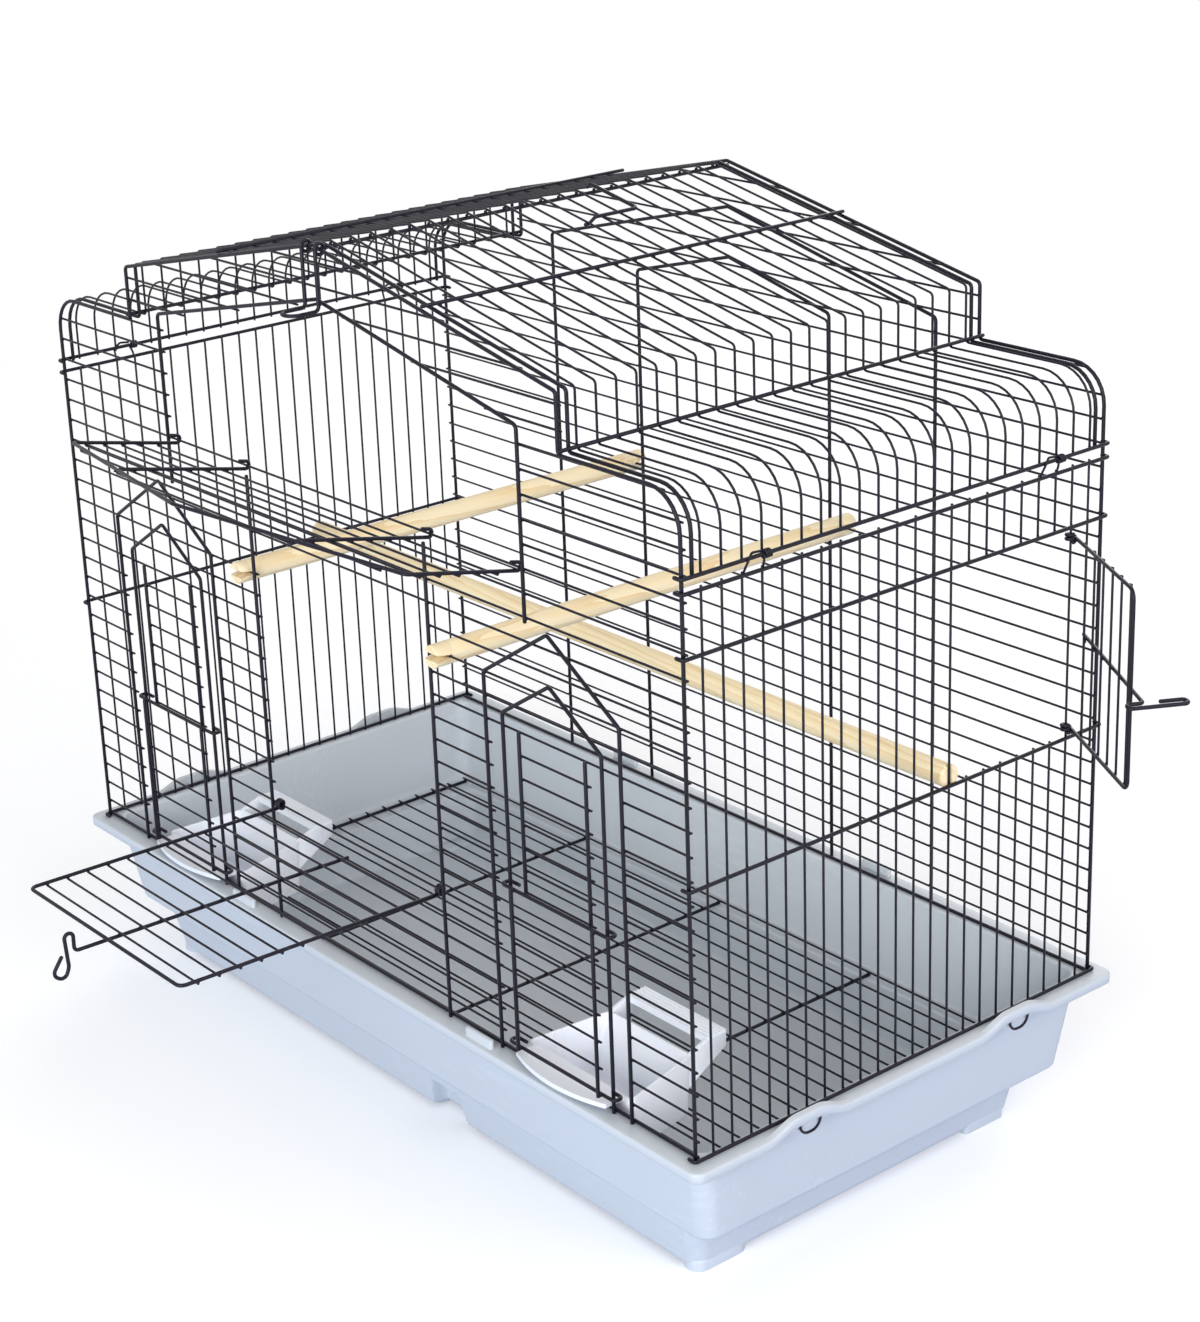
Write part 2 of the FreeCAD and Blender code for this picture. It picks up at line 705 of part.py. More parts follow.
def make_tray_clips():
    """Wire pull rings of the four clips that hold the cage on the tray."""
    clips = []
    top = f"{RIM} - sizes.rim_thickness - sizes.weld_gap"
    half = "sizes.clip_width / 2"
    middle = "-sizes.hump_span / 2"
    low = f"({RIM} - sizes.rim_thickness - sizes.clip_drop + {half})"
    points = [(f"{middle} - {half}", top), *bend_points((middle, low), f"({half})", 180, 180, RING_STEPS),
              (f"{middle} + {half}", top)]
    for end, side in (("right", ""), ("left", "-")):
        level = f"{side}(sizes.rim_length / 2 - sizes.clip_inset)"
        body = new_body(f"{end}_clips")
        ring = bent(body, f"{end}_clip", "X", level, points, "sizes.heavy_wire")
        repeat(body, ring, "Y", "sizes.hump_span", "2")
        clips.append(body)
    return node(group("tray_clips", clips), "tray_clips")


def make_grille():
    """Loose floor grille on the ledge: long wires welded on a few cross wires."""
    depth_span = "(sizes.grille_depth - 2 * sizes.grille_overhang)"
    cross_span = "(sizes.grille_length - 2 * sizes.grille_end)"
    long_wires = wire_row("grille_long", "X", "-sizes.grille_length / 2", "sizes.grille_length",
                          (f"-{depth_span} / 2", GRILLE_WIRE_Z), "sizes.thin_wire", "Z",
                          "Y", f"{depth_span} / (sizes.grille_wires - 1)", "sizes.grille_wires")
    node(long_wires, "grille_long_wires")
    cross_wires = wire_row("grille_cross", "Y", "-sizes.grille_depth / 2", "sizes.grille_depth",
                           (f"-{cross_span} / 2", GRILLE_CROSS_Z), "sizes.heavy_wire", "Z",
                           "X", f"{cross_span} / (sizes.grille_crosses - 1)", "sizes.grille_crosses")
    node(cross_wires, "grille_cross_wires")


def make_walls():
    """Front and back outlines and rows, bottom bars, end wires and end rails."""
    gable = new_body("gable_prism")
    face = sketch_on(gable, "gable_face", "Y")
    outline(face, roof_profile(RIM), closed=True)
    pad(gable, face, "sizes.cage_depth + sizes.overrun", middle=True)
    for side, sign in (("front", "-"), ("back", "")):
        edge = bent_wire(f"{side}_outline", "Y", f"{sign}{HALF_DEPTH}", roof_profile(RIM),
                         "sizes.heavy_wire")
        node(edge, f"{side}_outline")
        lines = wire_row(f"{side}_lines", "X", f"-{HALF_LENGTH}", "sizes.cage_length",
                         (f"{sign}{ROW_DEPTH}", row_level("0")), "sizes.thin_wire", "Y",
                         "Z", "sizes.pitch", "sizes.rows")
        rows = DOC.addObject("Part::Common", f"{side}_lines_trimmed")
        rows.Base = lines
        rows.Tool = gable
        if side == "front":
            rows = cut("front_rows", rows, front_openings())
        node(rows, f"{side}_rows")
        bar = new_body(f"{side}_bar")
        straight(bar, f"{side}_bar", "X", f"-{HALF_LENGTH}", "sizes.cage_length",
                 (f"{sign}{BAR_DEPTH}", height(f"{HEAVY_CORNER} + sizes.weld_gap")),
                 "sizes.heavy_wire", "Y")
        node(bar, f"{side}_bottom_bar")
    for side, sign in (("right", ""), ("left", "-")):
        make_end(side, sign)


def front_openings():
    """Blocks that clear the front rows out of its four openings, leaving short stubs."""
    near = f"-{HALF_DEPTH} - sizes.overrun"
    far = f"-{HALF_DEPTH} + sizes.overrun"
    half = "sizes.pitch / 2"
    lower = "(sizes.lower_opening_width / 2 - sizes.stub)"
    lower_foot = f"{row_level('sizes.rows_under_lower_door')} + {half}"
    lower_top = f"{row_level('sizes.rows_under_lower_top')} - {half}"
    blocks = [box("lower_opening", (f"-{lower}", near, lower_foot), (lower, far, lower_top))]
    arch = "(sizes.feeder_arch_width / 2 - sizes.stub)"
    arch_top = f"{row_level('sizes.rows_under_feeder_top')} - {half}"
    for name, centre in (("right_feeder", "sizes.feeder_offset"), ("left_feeder", "-sizes.feeder_offset")):
        blocks.append(box(f"{name}_opening", (f"{centre} - {arch}", near, RIM),
                          (f"{centre} + {arch}", far, arch_top)))
    prism = new_body("upper_opening")
    face = sketch_on(prism, "upper_opening_face", "Y", f"-{HALF_DEPTH}")
    foot = f"{row_level('sizes.rows_under_upper_door')} + {half}"
    outline(face, house(f"({UPPER_WIDTH} - 2 * sizes.stub)", foot,
                        height("sizes.upper_opening_shoulder - sizes.stub"),
                        height("sizes.upper_opening_peak - sizes.stub")), closed=True)
    pad(prism, face, "2 * sizes.overrun", middle=True)
    return blocks + [prism]


def make_end(side, sign):
    """One end wall: upright wires inside hooked rails, with the side opening on the right."""
    top = height(f"sizes.wall_rail_rise + {HEAVY_CORNER}")
    wires = wire_row(f"{side}_uprights", "Z", RIM, f"{top} - {RIM}",
                     (f"{sign}{END_X}", f"-{END_SPAN} / 2"), "sizes.thin_wire", "X",
                     "Y", "sizes.pitch", "sizes.end_wires")
    levels = [f"{HEAVY_CORNER} + sizes.weld_gap", "sizes.side_low_rise", "sizes.wall_rail_rise"]
    if side == "right":
        half = "sizes.pitch / 2"
        opening = box("side_opening", (f"{END_X} - sizes.overrun", f"sizes.side_first + {half}",
                                       height("sizes.side_low_rise")),
                      (f"{END_X} + sizes.overrun", f"{SIDE_HINGE_Y} - {half}",
                       height("sizes.side_high_rise")))
        wires = cut("right_end_wires", wires, [opening])
        levels.insert(2, "sizes.side_high_rise")
    node(wires, f"{side}_end_wires")
    rails = []
    for index, level in enumerate(levels):
        rails.append(hooked_rail(f"{side}_rail{index}", sign, height(level)))
    node(group(f"{side}_end_rails", rails), f"{side}_end_rails")


def hooked_rail(name, sign, level):
    """Heavy rail along one end whose two ends hook round the corner uprights."""
    far = f"({HALF_DEPTH} + {HEAVY_FLAT} + {HEAVY_FLAT} + sizes.weld_gap)"
    outer = f"{sign}{RAIL_X}"
    inner = f"{sign}({RAIL_X} - sizes.rail_hook)"
    points = [(inner, f"-{far}"), (outer, f"-{far}"), (outer, far), (inner, far)]
    return bent_wire(name, "Z", level, points, "sizes.heavy_wire", first="u", flat_bend=True)


def make_roof():
    """Roof wires and end hoops with rails along the sides, risers, slopes and ridge."""
    foot = height(f"sizes.roof_rail_rise - {HEAVY_CORNER}")
    arches = new_body("roof_arches")
    arch = bent(arches, "roof_arch", "Y", f"-{END_SPAN} / 2", roof_profile(foot, ROOF_OUT),
                "sizes.thin_wire", flat_bend=True)
    repeat(arches, arch, "Y", "sizes.pitch", "sizes.end_wires")
    node(arches, "roof_wires")
    hoops = new_body("roof_hoops")
    hoop = bent(hoops, "roof_hoop", "Y", f"-{HOOP_DEPTH}", roof_profile(foot), "sizes.heavy_wire")
    repeat(hoops, hoop, "Y", f"2 * {HOOP_DEPTH}", "2")
    node(hoops, "roof_hoops")
    sides = [hooked_rail(f"roof_{side}_rail", sign, height("sizes.roof_rail_rise"))
             for side, sign in (("right", ""), ("left", "-"))]
    node(group("roof_side_rails", sides), "roof_side_rails")
    length = "(sizes.cage_depth + sizes.heavy_wire)"
    start = f"-{length} / 2"
    riser = f"(sizes.riser_span / 2 + {RAIL_OUT})"
    riser_level = height(f"sizes.shoulder_rise + {HEAVY_CORNER} + {HEAVY_CORNER} + sizes.weld_gap")
    node(wire_row("riser_rails", "Y", start, length, (f"-{riser}", riser_level), "sizes.heavy_wire", "X",
                  "X", f"2 * {riser}", "2"), "roof_riser_rails")
    slope = "((sizes.ridge_rise - sizes.eave_rise) / (sizes.riser_span / 2))"
    lift = f"({HEAVY_CORNER} * 2 + sizes.weld_gap) / cos(atan({slope}))"
    slope_level = height(f"sizes.ridge_rise - {slope} * sizes.slope_rail_span / 2 + {lift}")
    node(wire_row("slope_rails", "Y", start, length, ("-sizes.slope_rail_span / 2", slope_level),
                  "sizes.heavy_wire", "X", "X", "sizes.slope_rail_span", "2"), "roof_slope_rails")
    ridge = new_body("ridge")
    straight(ridge, "ridge", "Y", start, length, ("0", height(f"sizes.ridge_rise - {lift}")),
             "sizes.heavy_wire", "X")
    node(ridge, "ridge_rail")
    make_roof_clips()


def make_roof_clips():
    """Wire clips outside the end rails that hold the roof on the walls."""
    low = height("sizes.wall_rail_rise - sizes.clip_loop_drop")
    high = height("sizes.wall_rail_rise - sizes.clip_loop_drop + sizes.clip_loop_rise")
    half = "sizes.clip_loop_width / 2"
    middle = "-sizes.clip_loop_span / 2"
    arch = bend_points((middle, f"({high} - {half})"), f"({half})", 180, -180, BEND_STEPS)
    points = [(f"{middle} - {half}", low), *arch, (f"{middle} + {half}", low)]
    clips = []
    for side, sign in (("right", ""), ("left", "-")):
        body = new_body(f"{side}_roof_clips")
        level = f"{sign}({RAIL_X} + {HEAVY_FLAT} + {THIN_FLAT} + sizes.weld_gap)"
        clip = bent(body, f"{side}_roof_clip", "X", level, points, "sizes.thin_wire")
        repeat(body, clip, "Y", "sizes.clip_loop_span", "2")
        clips.append(body)
    node(group("roof_clips", clips), "roof_clips")


def make_front_frames():
    """Heavy wires round the two front door openings, and the two stiffeners of the back wall."""
    upper = house(UPPER_WIDTH, height("sizes.upper_opening_foot"),
                  height("sizes.upper_opening_shoulder"), height("sizes.upper_opening_peak"))
    node(bent_wire("upper_frame", "Y", f"-{HALF_DEPTH}", upper, "sizes.heavy_wire"),
         "upper_opening_frame")
    length = f"{row_level('sizes.rows_under_upper_door')} - sizes.upright_top_gap - {RIM}"
    node(wire_row("lower_uprights", "Z", RIM, length, ("-sizes.lower_opening_width / 2", f"-{HALF_DEPTH}"),
                  "sizes.heavy_wire", "Y", "X", "sizes.lower_opening_width", "2"),
         "lower_opening_uprights")
    for name, width in (("outer", UPPER_WIDTH), ("inner", "sizes.lower_opening_width")):
        points = house(width, RIM, height(f"sizes.back_{name}_shoulder"),
                       height(f"sizes.back_{name}_peak"))
        node(bent_wire(f"back_{name}", "Y", HALF_DEPTH, points, "sizes.heavy_wire"),
             f"back_{name}_stiffener")


def make_feeders():
    """Feeder arches, slide guides, fixed grids, sliding doors and cups, left and right."""
    centre = "sizes.feeder_offset"
    pieces = []
    for name, width in (("arch", "sizes.feeder_arch_width"), ("guide", GUIDE_WIDTH)):
        points = house(width, RIM, height(f"sizes.feeder_{name}_shoulder"),
                       height(f"sizes.feeder_{name}_peak"), centre)
        pieces.append((f"feeder_{name}", bent_wire(f"feeder_{name}", "Y", f"-{HALF_DEPTH}", points,
                                                   "sizes.heavy_wire")))
    pieces.append(("feeder_grid", feeder_grid(centre)))
    pieces += slide_pieces(centre)
    pieces.append(("feeder_cup", feeder_cup(centre)))
    for name, item in pieces:
        node(item, f"right_{name}")
        mirrored(item, f"left_{name}")


def feeder_grid(centre):
    """Fixed wires in the upper part of a feeder opening."""
    foot = f"{row_level('sizes.rows_under_feeder_grid')} - {THIN_CORNER}"
    top = f"{row_level('sizes.rows_under_feeder_top')} + {THIN_CORNER}"
    posts = wire_row("grid_posts", "Z", foot, f"{top} - ({foot})",
                     (f"{centre} - {GRID_WIDTH} / 2", f"-{HALF_DEPTH}"), "sizes.heavy_wire", "Y",
                     "X", GRID_WIDTH, "2")
    lines = wire_row("grid_lines", "X", f"{centre} - {GRID_WIDTH} / 2 - sizes.stub",
                     f"{GRID_WIDTH} + 2 * sizes.stub",
                     (f"-{ROW_DEPTH}", row_level("sizes.rows_under_feeder_grid")), "sizes.thin_wire", "Y",
                     "Z", "sizes.pitch", "sizes.rows_under_feeder_top - sizes.rows_under_feeder_grid")
    return group("feeder_grid", [posts, lines])


def slide_pieces(centre):
    """Sliding feeder door: two bars hooked round the guide wires, side wires and rows."""
    left = f"({centre} - {GUIDE_WIDTH} / 2)"
    right = f"({centre} + {GUIDE_WIDTH} / 2)"
    points = [
        (f"{left} + sizes.slide_hook_return", f"-{SLIDE_BACK}"),
        (f"{left} - {SLIDE_HOOK}", f"-{SLIDE_BACK}"),
        (f"{left} - {SLIDE_HOOK}", f"-{SLIDE_FRONT}"),
        (f"{right} + {SLIDE_HOOK}", f"-{SLIDE_FRONT}"),
        (f"{right} + {SLIDE_HOOK}", f"-{SLIDE_BACK}"),
        (f"{right} - sizes.slide_hook_return", f"-{SLIDE_BACK}"),
    ]
    bars = new_body("slide_bars")
    low = height("sizes.slide_low")
    bar = bent(bars, "slide_bar", "Z", low, points, "sizes.heavy_wire", first="u")
    repeat(bars, bar, "Z", "sizes.slide_high - sizes.slide_low", "2")
    first = f"{left} + sizes.slide_side_inset"
    sides = wire_row("slide_sides", "Z", f"{low} - {HEAVY_CORNER}",
                     f"sizes.slide_high - sizes.slide_low + 2 * {HEAVY_CORNER}",
                     (first, f"-{SLIDE_SIDE}"), "sizes.heavy_wire", "Y",
                     "X", f"{GUIDE_WIDTH} - 2 * sizes.slide_side_inset", "2")
    step = "(sizes.slide_high - sizes.slide_low) / (sizes.slide_rows + 1)"
    rows = wire_row("slide_rows", "X", f"{first} - sizes.stub",
                    f"{GUIDE_WIDTH} - 2 * sizes.slide_side_inset + 2 * sizes.stub",
                    (f"-{SLIDE_ROW}", f"{low} + {step}"), "sizes.thin_wire", "Y",
                    "Z", step, "sizes.slide_rows")
    return [("slide_bars", bars), ("slide_sides", sides), ("slide_rows", rows)]


def feeder_cup(centre):
    """Moulded cup: tapered trough with a sloping floor, bowed front lip and slotted rear rail."""
    body = new_body("cup")
    top = height("sizes.cup_top")
    side = sketch_on(body, "cup_side", "X", centre)
    outline(side, [
        ("-sizes.cup_front", top),
        ("-sizes.cup_front_foot", CUP_FOOT),
        ("-sizes.cup_back_foot", CUP_FOOT),
        ("-sizes.cup_back", top),
    ], closed=True)
    pad(body, side, "sizes.cup_width", middle=True)
    rail = sketch_on(body, "cup_rail", "X", centre)
    rail_top = f"{top} + sizes.cup_rail_height"
    rail_front = "-sizes.cup_back - sizes.cup_rail_depth"
    outline(rail, [("-sizes.cup_back", top), ("-sizes.cup_back", rail_top), (rail_front, rail_top),
                   (rail_front, top)], closed=True)
    pad(body, rail, "sizes.cup_width", middle=True)
    lip = sketch_on(body, "cup_lip", "Z", top)
    lip_left = f"{centre} - sizes.lip_width / 2"
    lip_right = f"{centre} + sizes.lip_width / 2"
    inside = "-sizes.cup_front + sizes.cup_wall"
    outline(lip, [(lip_left, inside), (lip_left, "-sizes.lip_reach"),
                  (f"{centre} - sizes.lip_flat / 2", "-sizes.lip_reach - sizes.lip_bow"),
                  (f"{centre} + sizes.lip_flat / 2", "-sizes.lip_reach - sizes.lip_bow"),
                  (lip_right, "-sizes.lip_reach"), (lip_right, inside)],
            {2: "sizes.lip_bend", 3: "sizes.lip_bend"}, closed=True)
    pad(body, lip, "sizes.lip_height", back=True)
    trough = sketch_on(body, "cup_trough", "X", centre)
    floor = f"{CUP_FOOT} + sizes.cup_wall"
    outline(trough, [
        ("-sizes.cup_front + sizes.cup_wall", f"{top} + sizes.overrun"),
        ("-sizes.cup_front + sizes.cup_wall", top),
        ("-sizes.cup_front_foot + sizes.cup_wall", floor),
        ("-sizes.cup_back_foot - sizes.cup_wall - sizes.cup_rail_depth", f"{floor} + sizes.cup_floor_rise"),
        ("-sizes.cup_back - sizes.cup_rail_depth - sizes.cup_wall", top),
        ("-sizes.cup_back - sizes.cup_rail_depth - sizes.cup_wall", f"{top} + sizes.overrun"),
    ], closed=True)
    pocket(body, trough, "sizes.cup_width - 2 * sizes.cup_wall", middle=True)
    slot = sketch_on(body, "cup_slot", "Y", "-sizes.cup_back - sizes.cup_rail_depth / 2")
    slot_low = f"{top} + sizes.cup_wall / 2"
    add_loop(slot, [
        (f"{centre} - sizes.cup_slot_width / 2", slot_low),
        (f"{centre} + sizes.cup_slot_width / 2", slot_low),
        (f"{centre} + sizes.cup_slot_width / 2", f"{slot_low} + sizes.cup_slot_height"),
        (f"{centre} - sizes.cup_slot_width / 2", f"{slot_low} + sizes.cup_slot_height"),
    ])
    pocket(body, slot, "2 * sizes.cup_rail_depth", middle=True)
    return body


def make_perches():
    """Two cross perches slotted on the front and back rows and a long one between the ends."""
    reach = f"({ROW_DEPTH} + sizes.perch_reach)"
    slot_width = "(sizes.thin_wire + sizes.perch_slack)"
    slot_end = f"({ROW_DEPTH} - sizes.perch_grip)"
    level = row_level("sizes.rows_under_perch")
    for side, sign in (("right", ""), ("left", "-")):
        body = new_body(f"{side}_perch")
        place = f"{sign}sizes.perch_span / 2"
        section = sketch_on(body, f"{side}_perch_section", "Y")
        circle(section, (place, level), "sizes.perch_diameter / 2")
        pad(body, section, f"2 * {reach}", middle=True)
        slots = sketch_on(body, f"{side}_perch_slots", "X", place)
        for end in ("", "-"):
            outer = f"{end}({reach} + sizes.overrun)"
            add_loop(slots, slot_loop(f"{end}({slot_end})", outer, level, slot_width))
        pocket(body, slots, "2 * sizes.perch_diameter", middle=True)
        node(body, f"{side}_perch")
    body = new_body("long_perch")
    reach = f"({END_X} + {THIN_FLAT} - sizes.weld_gap)"
    slot_end = f"({END_X} - sizes.perch_grip)"
    level = height("sizes.side_low_rise + sizes.long_perch_lift")
    section = sketch_on(body, "long_perch_section", "X")
    circle(section, ("sizes.side_first", level), "sizes.perch_diameter / 2")
    pad(body, section, f"2 * {reach}", middle=True)
    slots = sketch_on(body, "long_perch_slots", "Z", level)
    for end in ("", "-"):
        add_loop(slots, slot_loop(f"{end}({slot_end})", f"{end}({reach} + sizes.overrun)",
                                  "sizes.side_first", slot_width))
    pocket(body, slots, "2 * sizes.perch_diameter", middle=True)
    node(body, "long_perch")


def slot_loop(inner, outer, middle, width):
    """Outline of a slot cut into the end of a perch."""
    low = f"{middle} - {width} / 2"
    high = f"{middle} + {width} / 2"
    return [(inner, low), (outer, low), (outer, high), (inner, high)]


def make_upper_door():
    """House-shaped front door on four eyes, opened outwards and down."""
    hinge = ("0", HINGE_Y, row_level("sizes.rows_under_upper_door"))
    half = f"{UPPER_DOOR_WIDTH} / 2"
    points = house(UPPER_DOOR_WIDTH, "0", UPPER_DOOR_SIDE, UPPER_DOOR_PEAK)
    frame = new_body("upper_frame_door")
    bent(frame, "upper_edge", "Y", f"-{EYE_RADIUS}", points, "sizes.heavy_wire")
    eyes(frame, "upper_edge", "X", f"-{half}", EYE_HOLE, "sizes.heavy_wire", (UPPER_DOOR_WIDTH, "2"))
    swing(node(frame, "upper_door_frame"), VECTOR(1, 0, 0), hinge, "sizes.upper_door_angle")
    bars = new_body("upper_bars")
    slope = f"(({UPPER_DOOR_PEAK} - {UPPER_DOOR_SIDE}) / ({half}))"
    top = f"{UPPER_DOOR_PEAK} - {slope} * sizes.upper_door_bar_span / 2 - 2 * {HEAVY_CORNER}"
    first = straight(bars, "upper_bar", "Z", "0", top, ("-sizes.upper_door_bar_span / 2", f"-{EYE_RADIUS}"),
                     "sizes.heavy_wire", "Y")
    repeat(bars, first, "X", "sizes.upper_door_bar_span", "2")
    eyes(bars, "upper_bar", "X", "-sizes.upper_door_bar_span / 2", EYE_HOLE, "sizes.heavy_wire",
         ("sizes.upper_door_bar_span", "2"))
    swing(node(bars, "upper_door_bars"), VECTOR(1, 0, 0), hinge, "sizes.upper_door_angle")
    lines = wire_row("upper_door_lines", "X", f"-{half}", UPPER_DOOR_WIDTH,
                     (f"-{DOOR_ROW}", "sizes.upper_door_pitch"), "sizes.thin_wire", "Y",
                     "Z", "sizes.upper_door_pitch", "sizes.upper_door_rows")
    prism = new_body("upper_door_prism")
    face = sketch_on(prism, "upper_door_face", "Y")
    outline(face, points, closed=True)
    pad(prism, face, "2 * sizes.overrun", middle=True)
    rows = DOC.addObject("Part::Common", "upper_door_lines_trimmed")
    rows.Base = lines
    rows.Tool = prism
    swing(node(rows, "upper_door_rows"), VECTOR(1, 0, 0), hinge, "sizes.upper_door_angle")


def make_lower_door():
    """Tall front door on two eyes, opened outwards and down, with a curled catch wire."""
    hinge = ("0", HINGE_Y, row_level("sizes.rows_under_lower_door"))
    half = f"{LOWER_DOOR_WIDTH} / 2"
    frame = new_body("lower_frame_door")
    points = [(f"-{half}", "0"), (f"-{half}", LOWER_DOOR_LENGTH), (half, LOWER_DOOR_LENGTH), (half, "0")]
    bends = {1: "sizes.lower_door_bend", 2: "sizes.lower_door_bend"}
    bent(frame, "lower_edge", "Y", f"-{EYE_RADIUS}", points, "sizes.heavy_wire", bends)
    eyes(frame, "lower_edge", "X", f"-{half}", EYE_HOLE, "sizes.heavy_wire", (LOWER_DOOR_WIDTH, "2"))
    swing(node(frame, "lower_door_frame"), VECTOR(1, 0, 0), hinge, "sizes.lower_door_angle")
    rows = wire_row("lower_door_lines", "X", f"-{half} - sizes.door_row_stub",
                    f"{LOWER_DOOR_WIDTH} + 2 * sizes.door_row_stub",
                    (f"-{DOOR_ROW}", "sizes.pitch"), "sizes.thin_wire", "Y",
                    "Z", "sizes.pitch", "sizes.lower_door_rows")
    swing(node(rows, "lower_door_rows"), VECTOR(1, 0, 0), hinge, "sizes.lower_door_angle")
    layer = f"-{CATCH_LAYER}"
    curl = f"-{CATCH_LAYER} - sizes.catch_drop"
    tip = f"({LOWER_DOOR_LENGTH} + sizes.catch_reach)"
    back = f"{tip} - 2 * sizes.catch_bend"
    catch = bent_wire("lower_catch", "X", "0", [
        (layer, "sizes.catch_start"),
        (layer, tip),
        (curl, tip),
        (curl, back),
    ], "sizes.heavy_wire", {1: "sizes.catch_bend", 2: "sizes.catch_bend"}, flat_bend=True)
    swing(node(catch, "lower_door_catch"), VECTOR(1, 0, 0), hinge, "sizes.lower_door_angle")


def make_side_door():
    """Side door on two eyes round an end wire, with a latch wire and its finger loop."""
    hinge = (END_X, SIDE_HINGE_Y, "0")
    low = height("sizes.side_low_rise + sizes.side_door_low_gap")
    high = height("sizes.side_high_rise - sizes.side_door_high_gap")
    edge = f"-{SIDE_DOOR_WIDTH}"
    frame = new_body("side_frame_door")
    bends = {1: "sizes.side_door_bend", 2: "sizes.side_door_bend"}
    bent(frame, "side_edge", "X", EYE_RADIUS, [("0", low), (edge, low), (edge, high), ("0", high)],
         "sizes.heavy_wire", bends, first="u")
    eyes(frame, "side_edge", "Z", low, EYE_HOLE, "sizes.heavy_wire",
         (f"{high} - {low}", "2"))
    swing(node(frame, "side_door_frame"), VECTOR(0, 0, 1), hinge, "sizes.side_door_angle")
    wires = wire_row("side_door_lines", "Z", f"{low} - {HEAVY_CORNER}",
                     f"{high} - {low} + 2 * {HEAVY_CORNER}",
                     (DOOR_ROW, "-sizes.pitch * sizes.side_door_wires"), "sizes.thin_wire", "X",
                     "Y", "sizes.pitch", "sizes.side_door_wires")
    swing(node(wires, "side_door_wires"), VECTOR(0, 0, 1), hinge, "sizes.side_door_angle")
    middle = f"({low} + {high}) / 2"
    latch = new_body("side_latch")
    tip = f"{edge} - sizes.side_latch_reach"
    straight(latch, "side_latch", "Y", tip, f"-({tip}) - sizes.side_latch_start",
             (CATCH_LAYER, middle), "sizes.heavy_wire", "X")
    loop_base = CATCH_LAYER
    loop_tip = f"{CATCH_LAYER} + sizes.side_latch_loop"
    upper = f"{middle} + sizes.side_latch_height / 2"
    lower = f"{middle} - sizes.side_latch_height / 2"
    bent(latch, "side_latch_loop", "Y", edge, [
        (loop_base, middle), (f"{loop_base} + sizes.side_latch_height / 2", lower), (loop_tip, lower),
        (loop_tip, upper), (f"{loop_base} + sizes.side_latch_height", upper)],
        "sizes.heavy_wire", first="u")
    swing(node(latch, "side_door_latch"), VECTOR(0, 0, 1), hinge, "sizes.side_door_angle")


def make_ridge_latch():
    """Wire latch that hangs by two eyes from the front outline beside the ridge."""
    slope = "((sizes.ridge_rise - sizes.eave_rise) / (sizes.riser_span / 2))"
    hole = f"({HEAVY_CORNER} / cos(atan({slope})) + {slope} * {HEAVY_FLAT} + sizes.eye_clearance)"
    leg = f"-({hole} + {HEAVY_FLAT})"
    foot = "-sizes.latch_drop"
    tip = f"{leg} - sizes.latch_reach"
    half = "sizes.latch_width / 2"
    body = new_body("latch")
    elbow = f"{leg} - sizes.latch_reach / 2"
    first = bent(body, "latch_leg", "X", f"-{half}", [(leg, "0"), (leg, foot), (elbow, foot)],
                 "sizes.heavy_wire")
    repeat(body, first, "X", "sizes.latch_width", "2")
    start = f"{elbow} + {HEAVY_FLAT}"
    turn = bend_points(("0", f"({tip} + {half})"), f"({half})", 180, 180, BEND_STEPS)
    bent(body, "latch_loop", "Z", foot, [(f"-{half}", start), *turn, (half, start)],
         "sizes.heavy_wire", flat_bend=True)
    eyes(body, "latch", "X", f"-{half}", hole, "sizes.heavy_wire", ("sizes.latch_width", "2"))
    place = ("0", f"-{HALF_DEPTH}", height(f"sizes.ridge_rise - {slope} * {half}"))
    node(body, "ridge_latch")
    for letter, expression in zip("xyz", place):
        body.setExpression(f"Placement.Base.{letter}", expression)


make_tray()
make_tray_clips()
make_grille()
make_walls()
make_roof()
make_front_frames()
make_feeders()
make_perches()
make_upper_door()
make_lower_door()
make_side_door()
make_ridge_latch()
DOC.recompute()

for item in DOC.Objects:
    if "Invalid" in item.State or "Error" in item.State:
        raise RuntimeError(f"{item.Label} did not build: {item.State}")
for item in NODES:
    if item.Shape.isNull() or not item.Shape.isValid():
        raise RuntimeError(f"{item.Label} has no valid shape")

os.makedirs("parts", exist_ok=True)
for item in NODES:
    item.Shape.exportStep(f"parts/{item.Label}.step")
print(len(NODES), "sub-parts,", sum(len(item.Shape.Solids) for item in NODES), "solids")
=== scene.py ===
"""Looks of a gabled wire flight cage on its moulded tray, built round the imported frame."""

import logging
import math
from dataclasses import dataclass, field
from enum import Enum
from typing import Sequence

import bpy
import numpy as np
from mathutils import Matrix, Vector


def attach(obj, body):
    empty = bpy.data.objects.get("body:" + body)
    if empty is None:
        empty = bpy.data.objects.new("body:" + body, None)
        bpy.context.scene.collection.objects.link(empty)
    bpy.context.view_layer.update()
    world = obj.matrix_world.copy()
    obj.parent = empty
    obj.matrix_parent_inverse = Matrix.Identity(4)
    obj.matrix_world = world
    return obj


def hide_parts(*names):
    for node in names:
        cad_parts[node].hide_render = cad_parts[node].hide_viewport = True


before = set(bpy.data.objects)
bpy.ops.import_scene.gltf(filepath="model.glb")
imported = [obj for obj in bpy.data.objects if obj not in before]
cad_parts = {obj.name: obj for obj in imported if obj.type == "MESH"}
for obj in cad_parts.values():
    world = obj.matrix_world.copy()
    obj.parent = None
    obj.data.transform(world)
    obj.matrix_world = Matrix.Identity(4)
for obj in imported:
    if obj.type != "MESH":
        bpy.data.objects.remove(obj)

LOG = logging.getLogger("flight_cage")
MM = 0.001
Array = np.ndarray
Row = Sequence[float]
Tree, Node, Socket = bpy.types.NodeTree, bpy.types.Node, bpy.types.NodeSocket
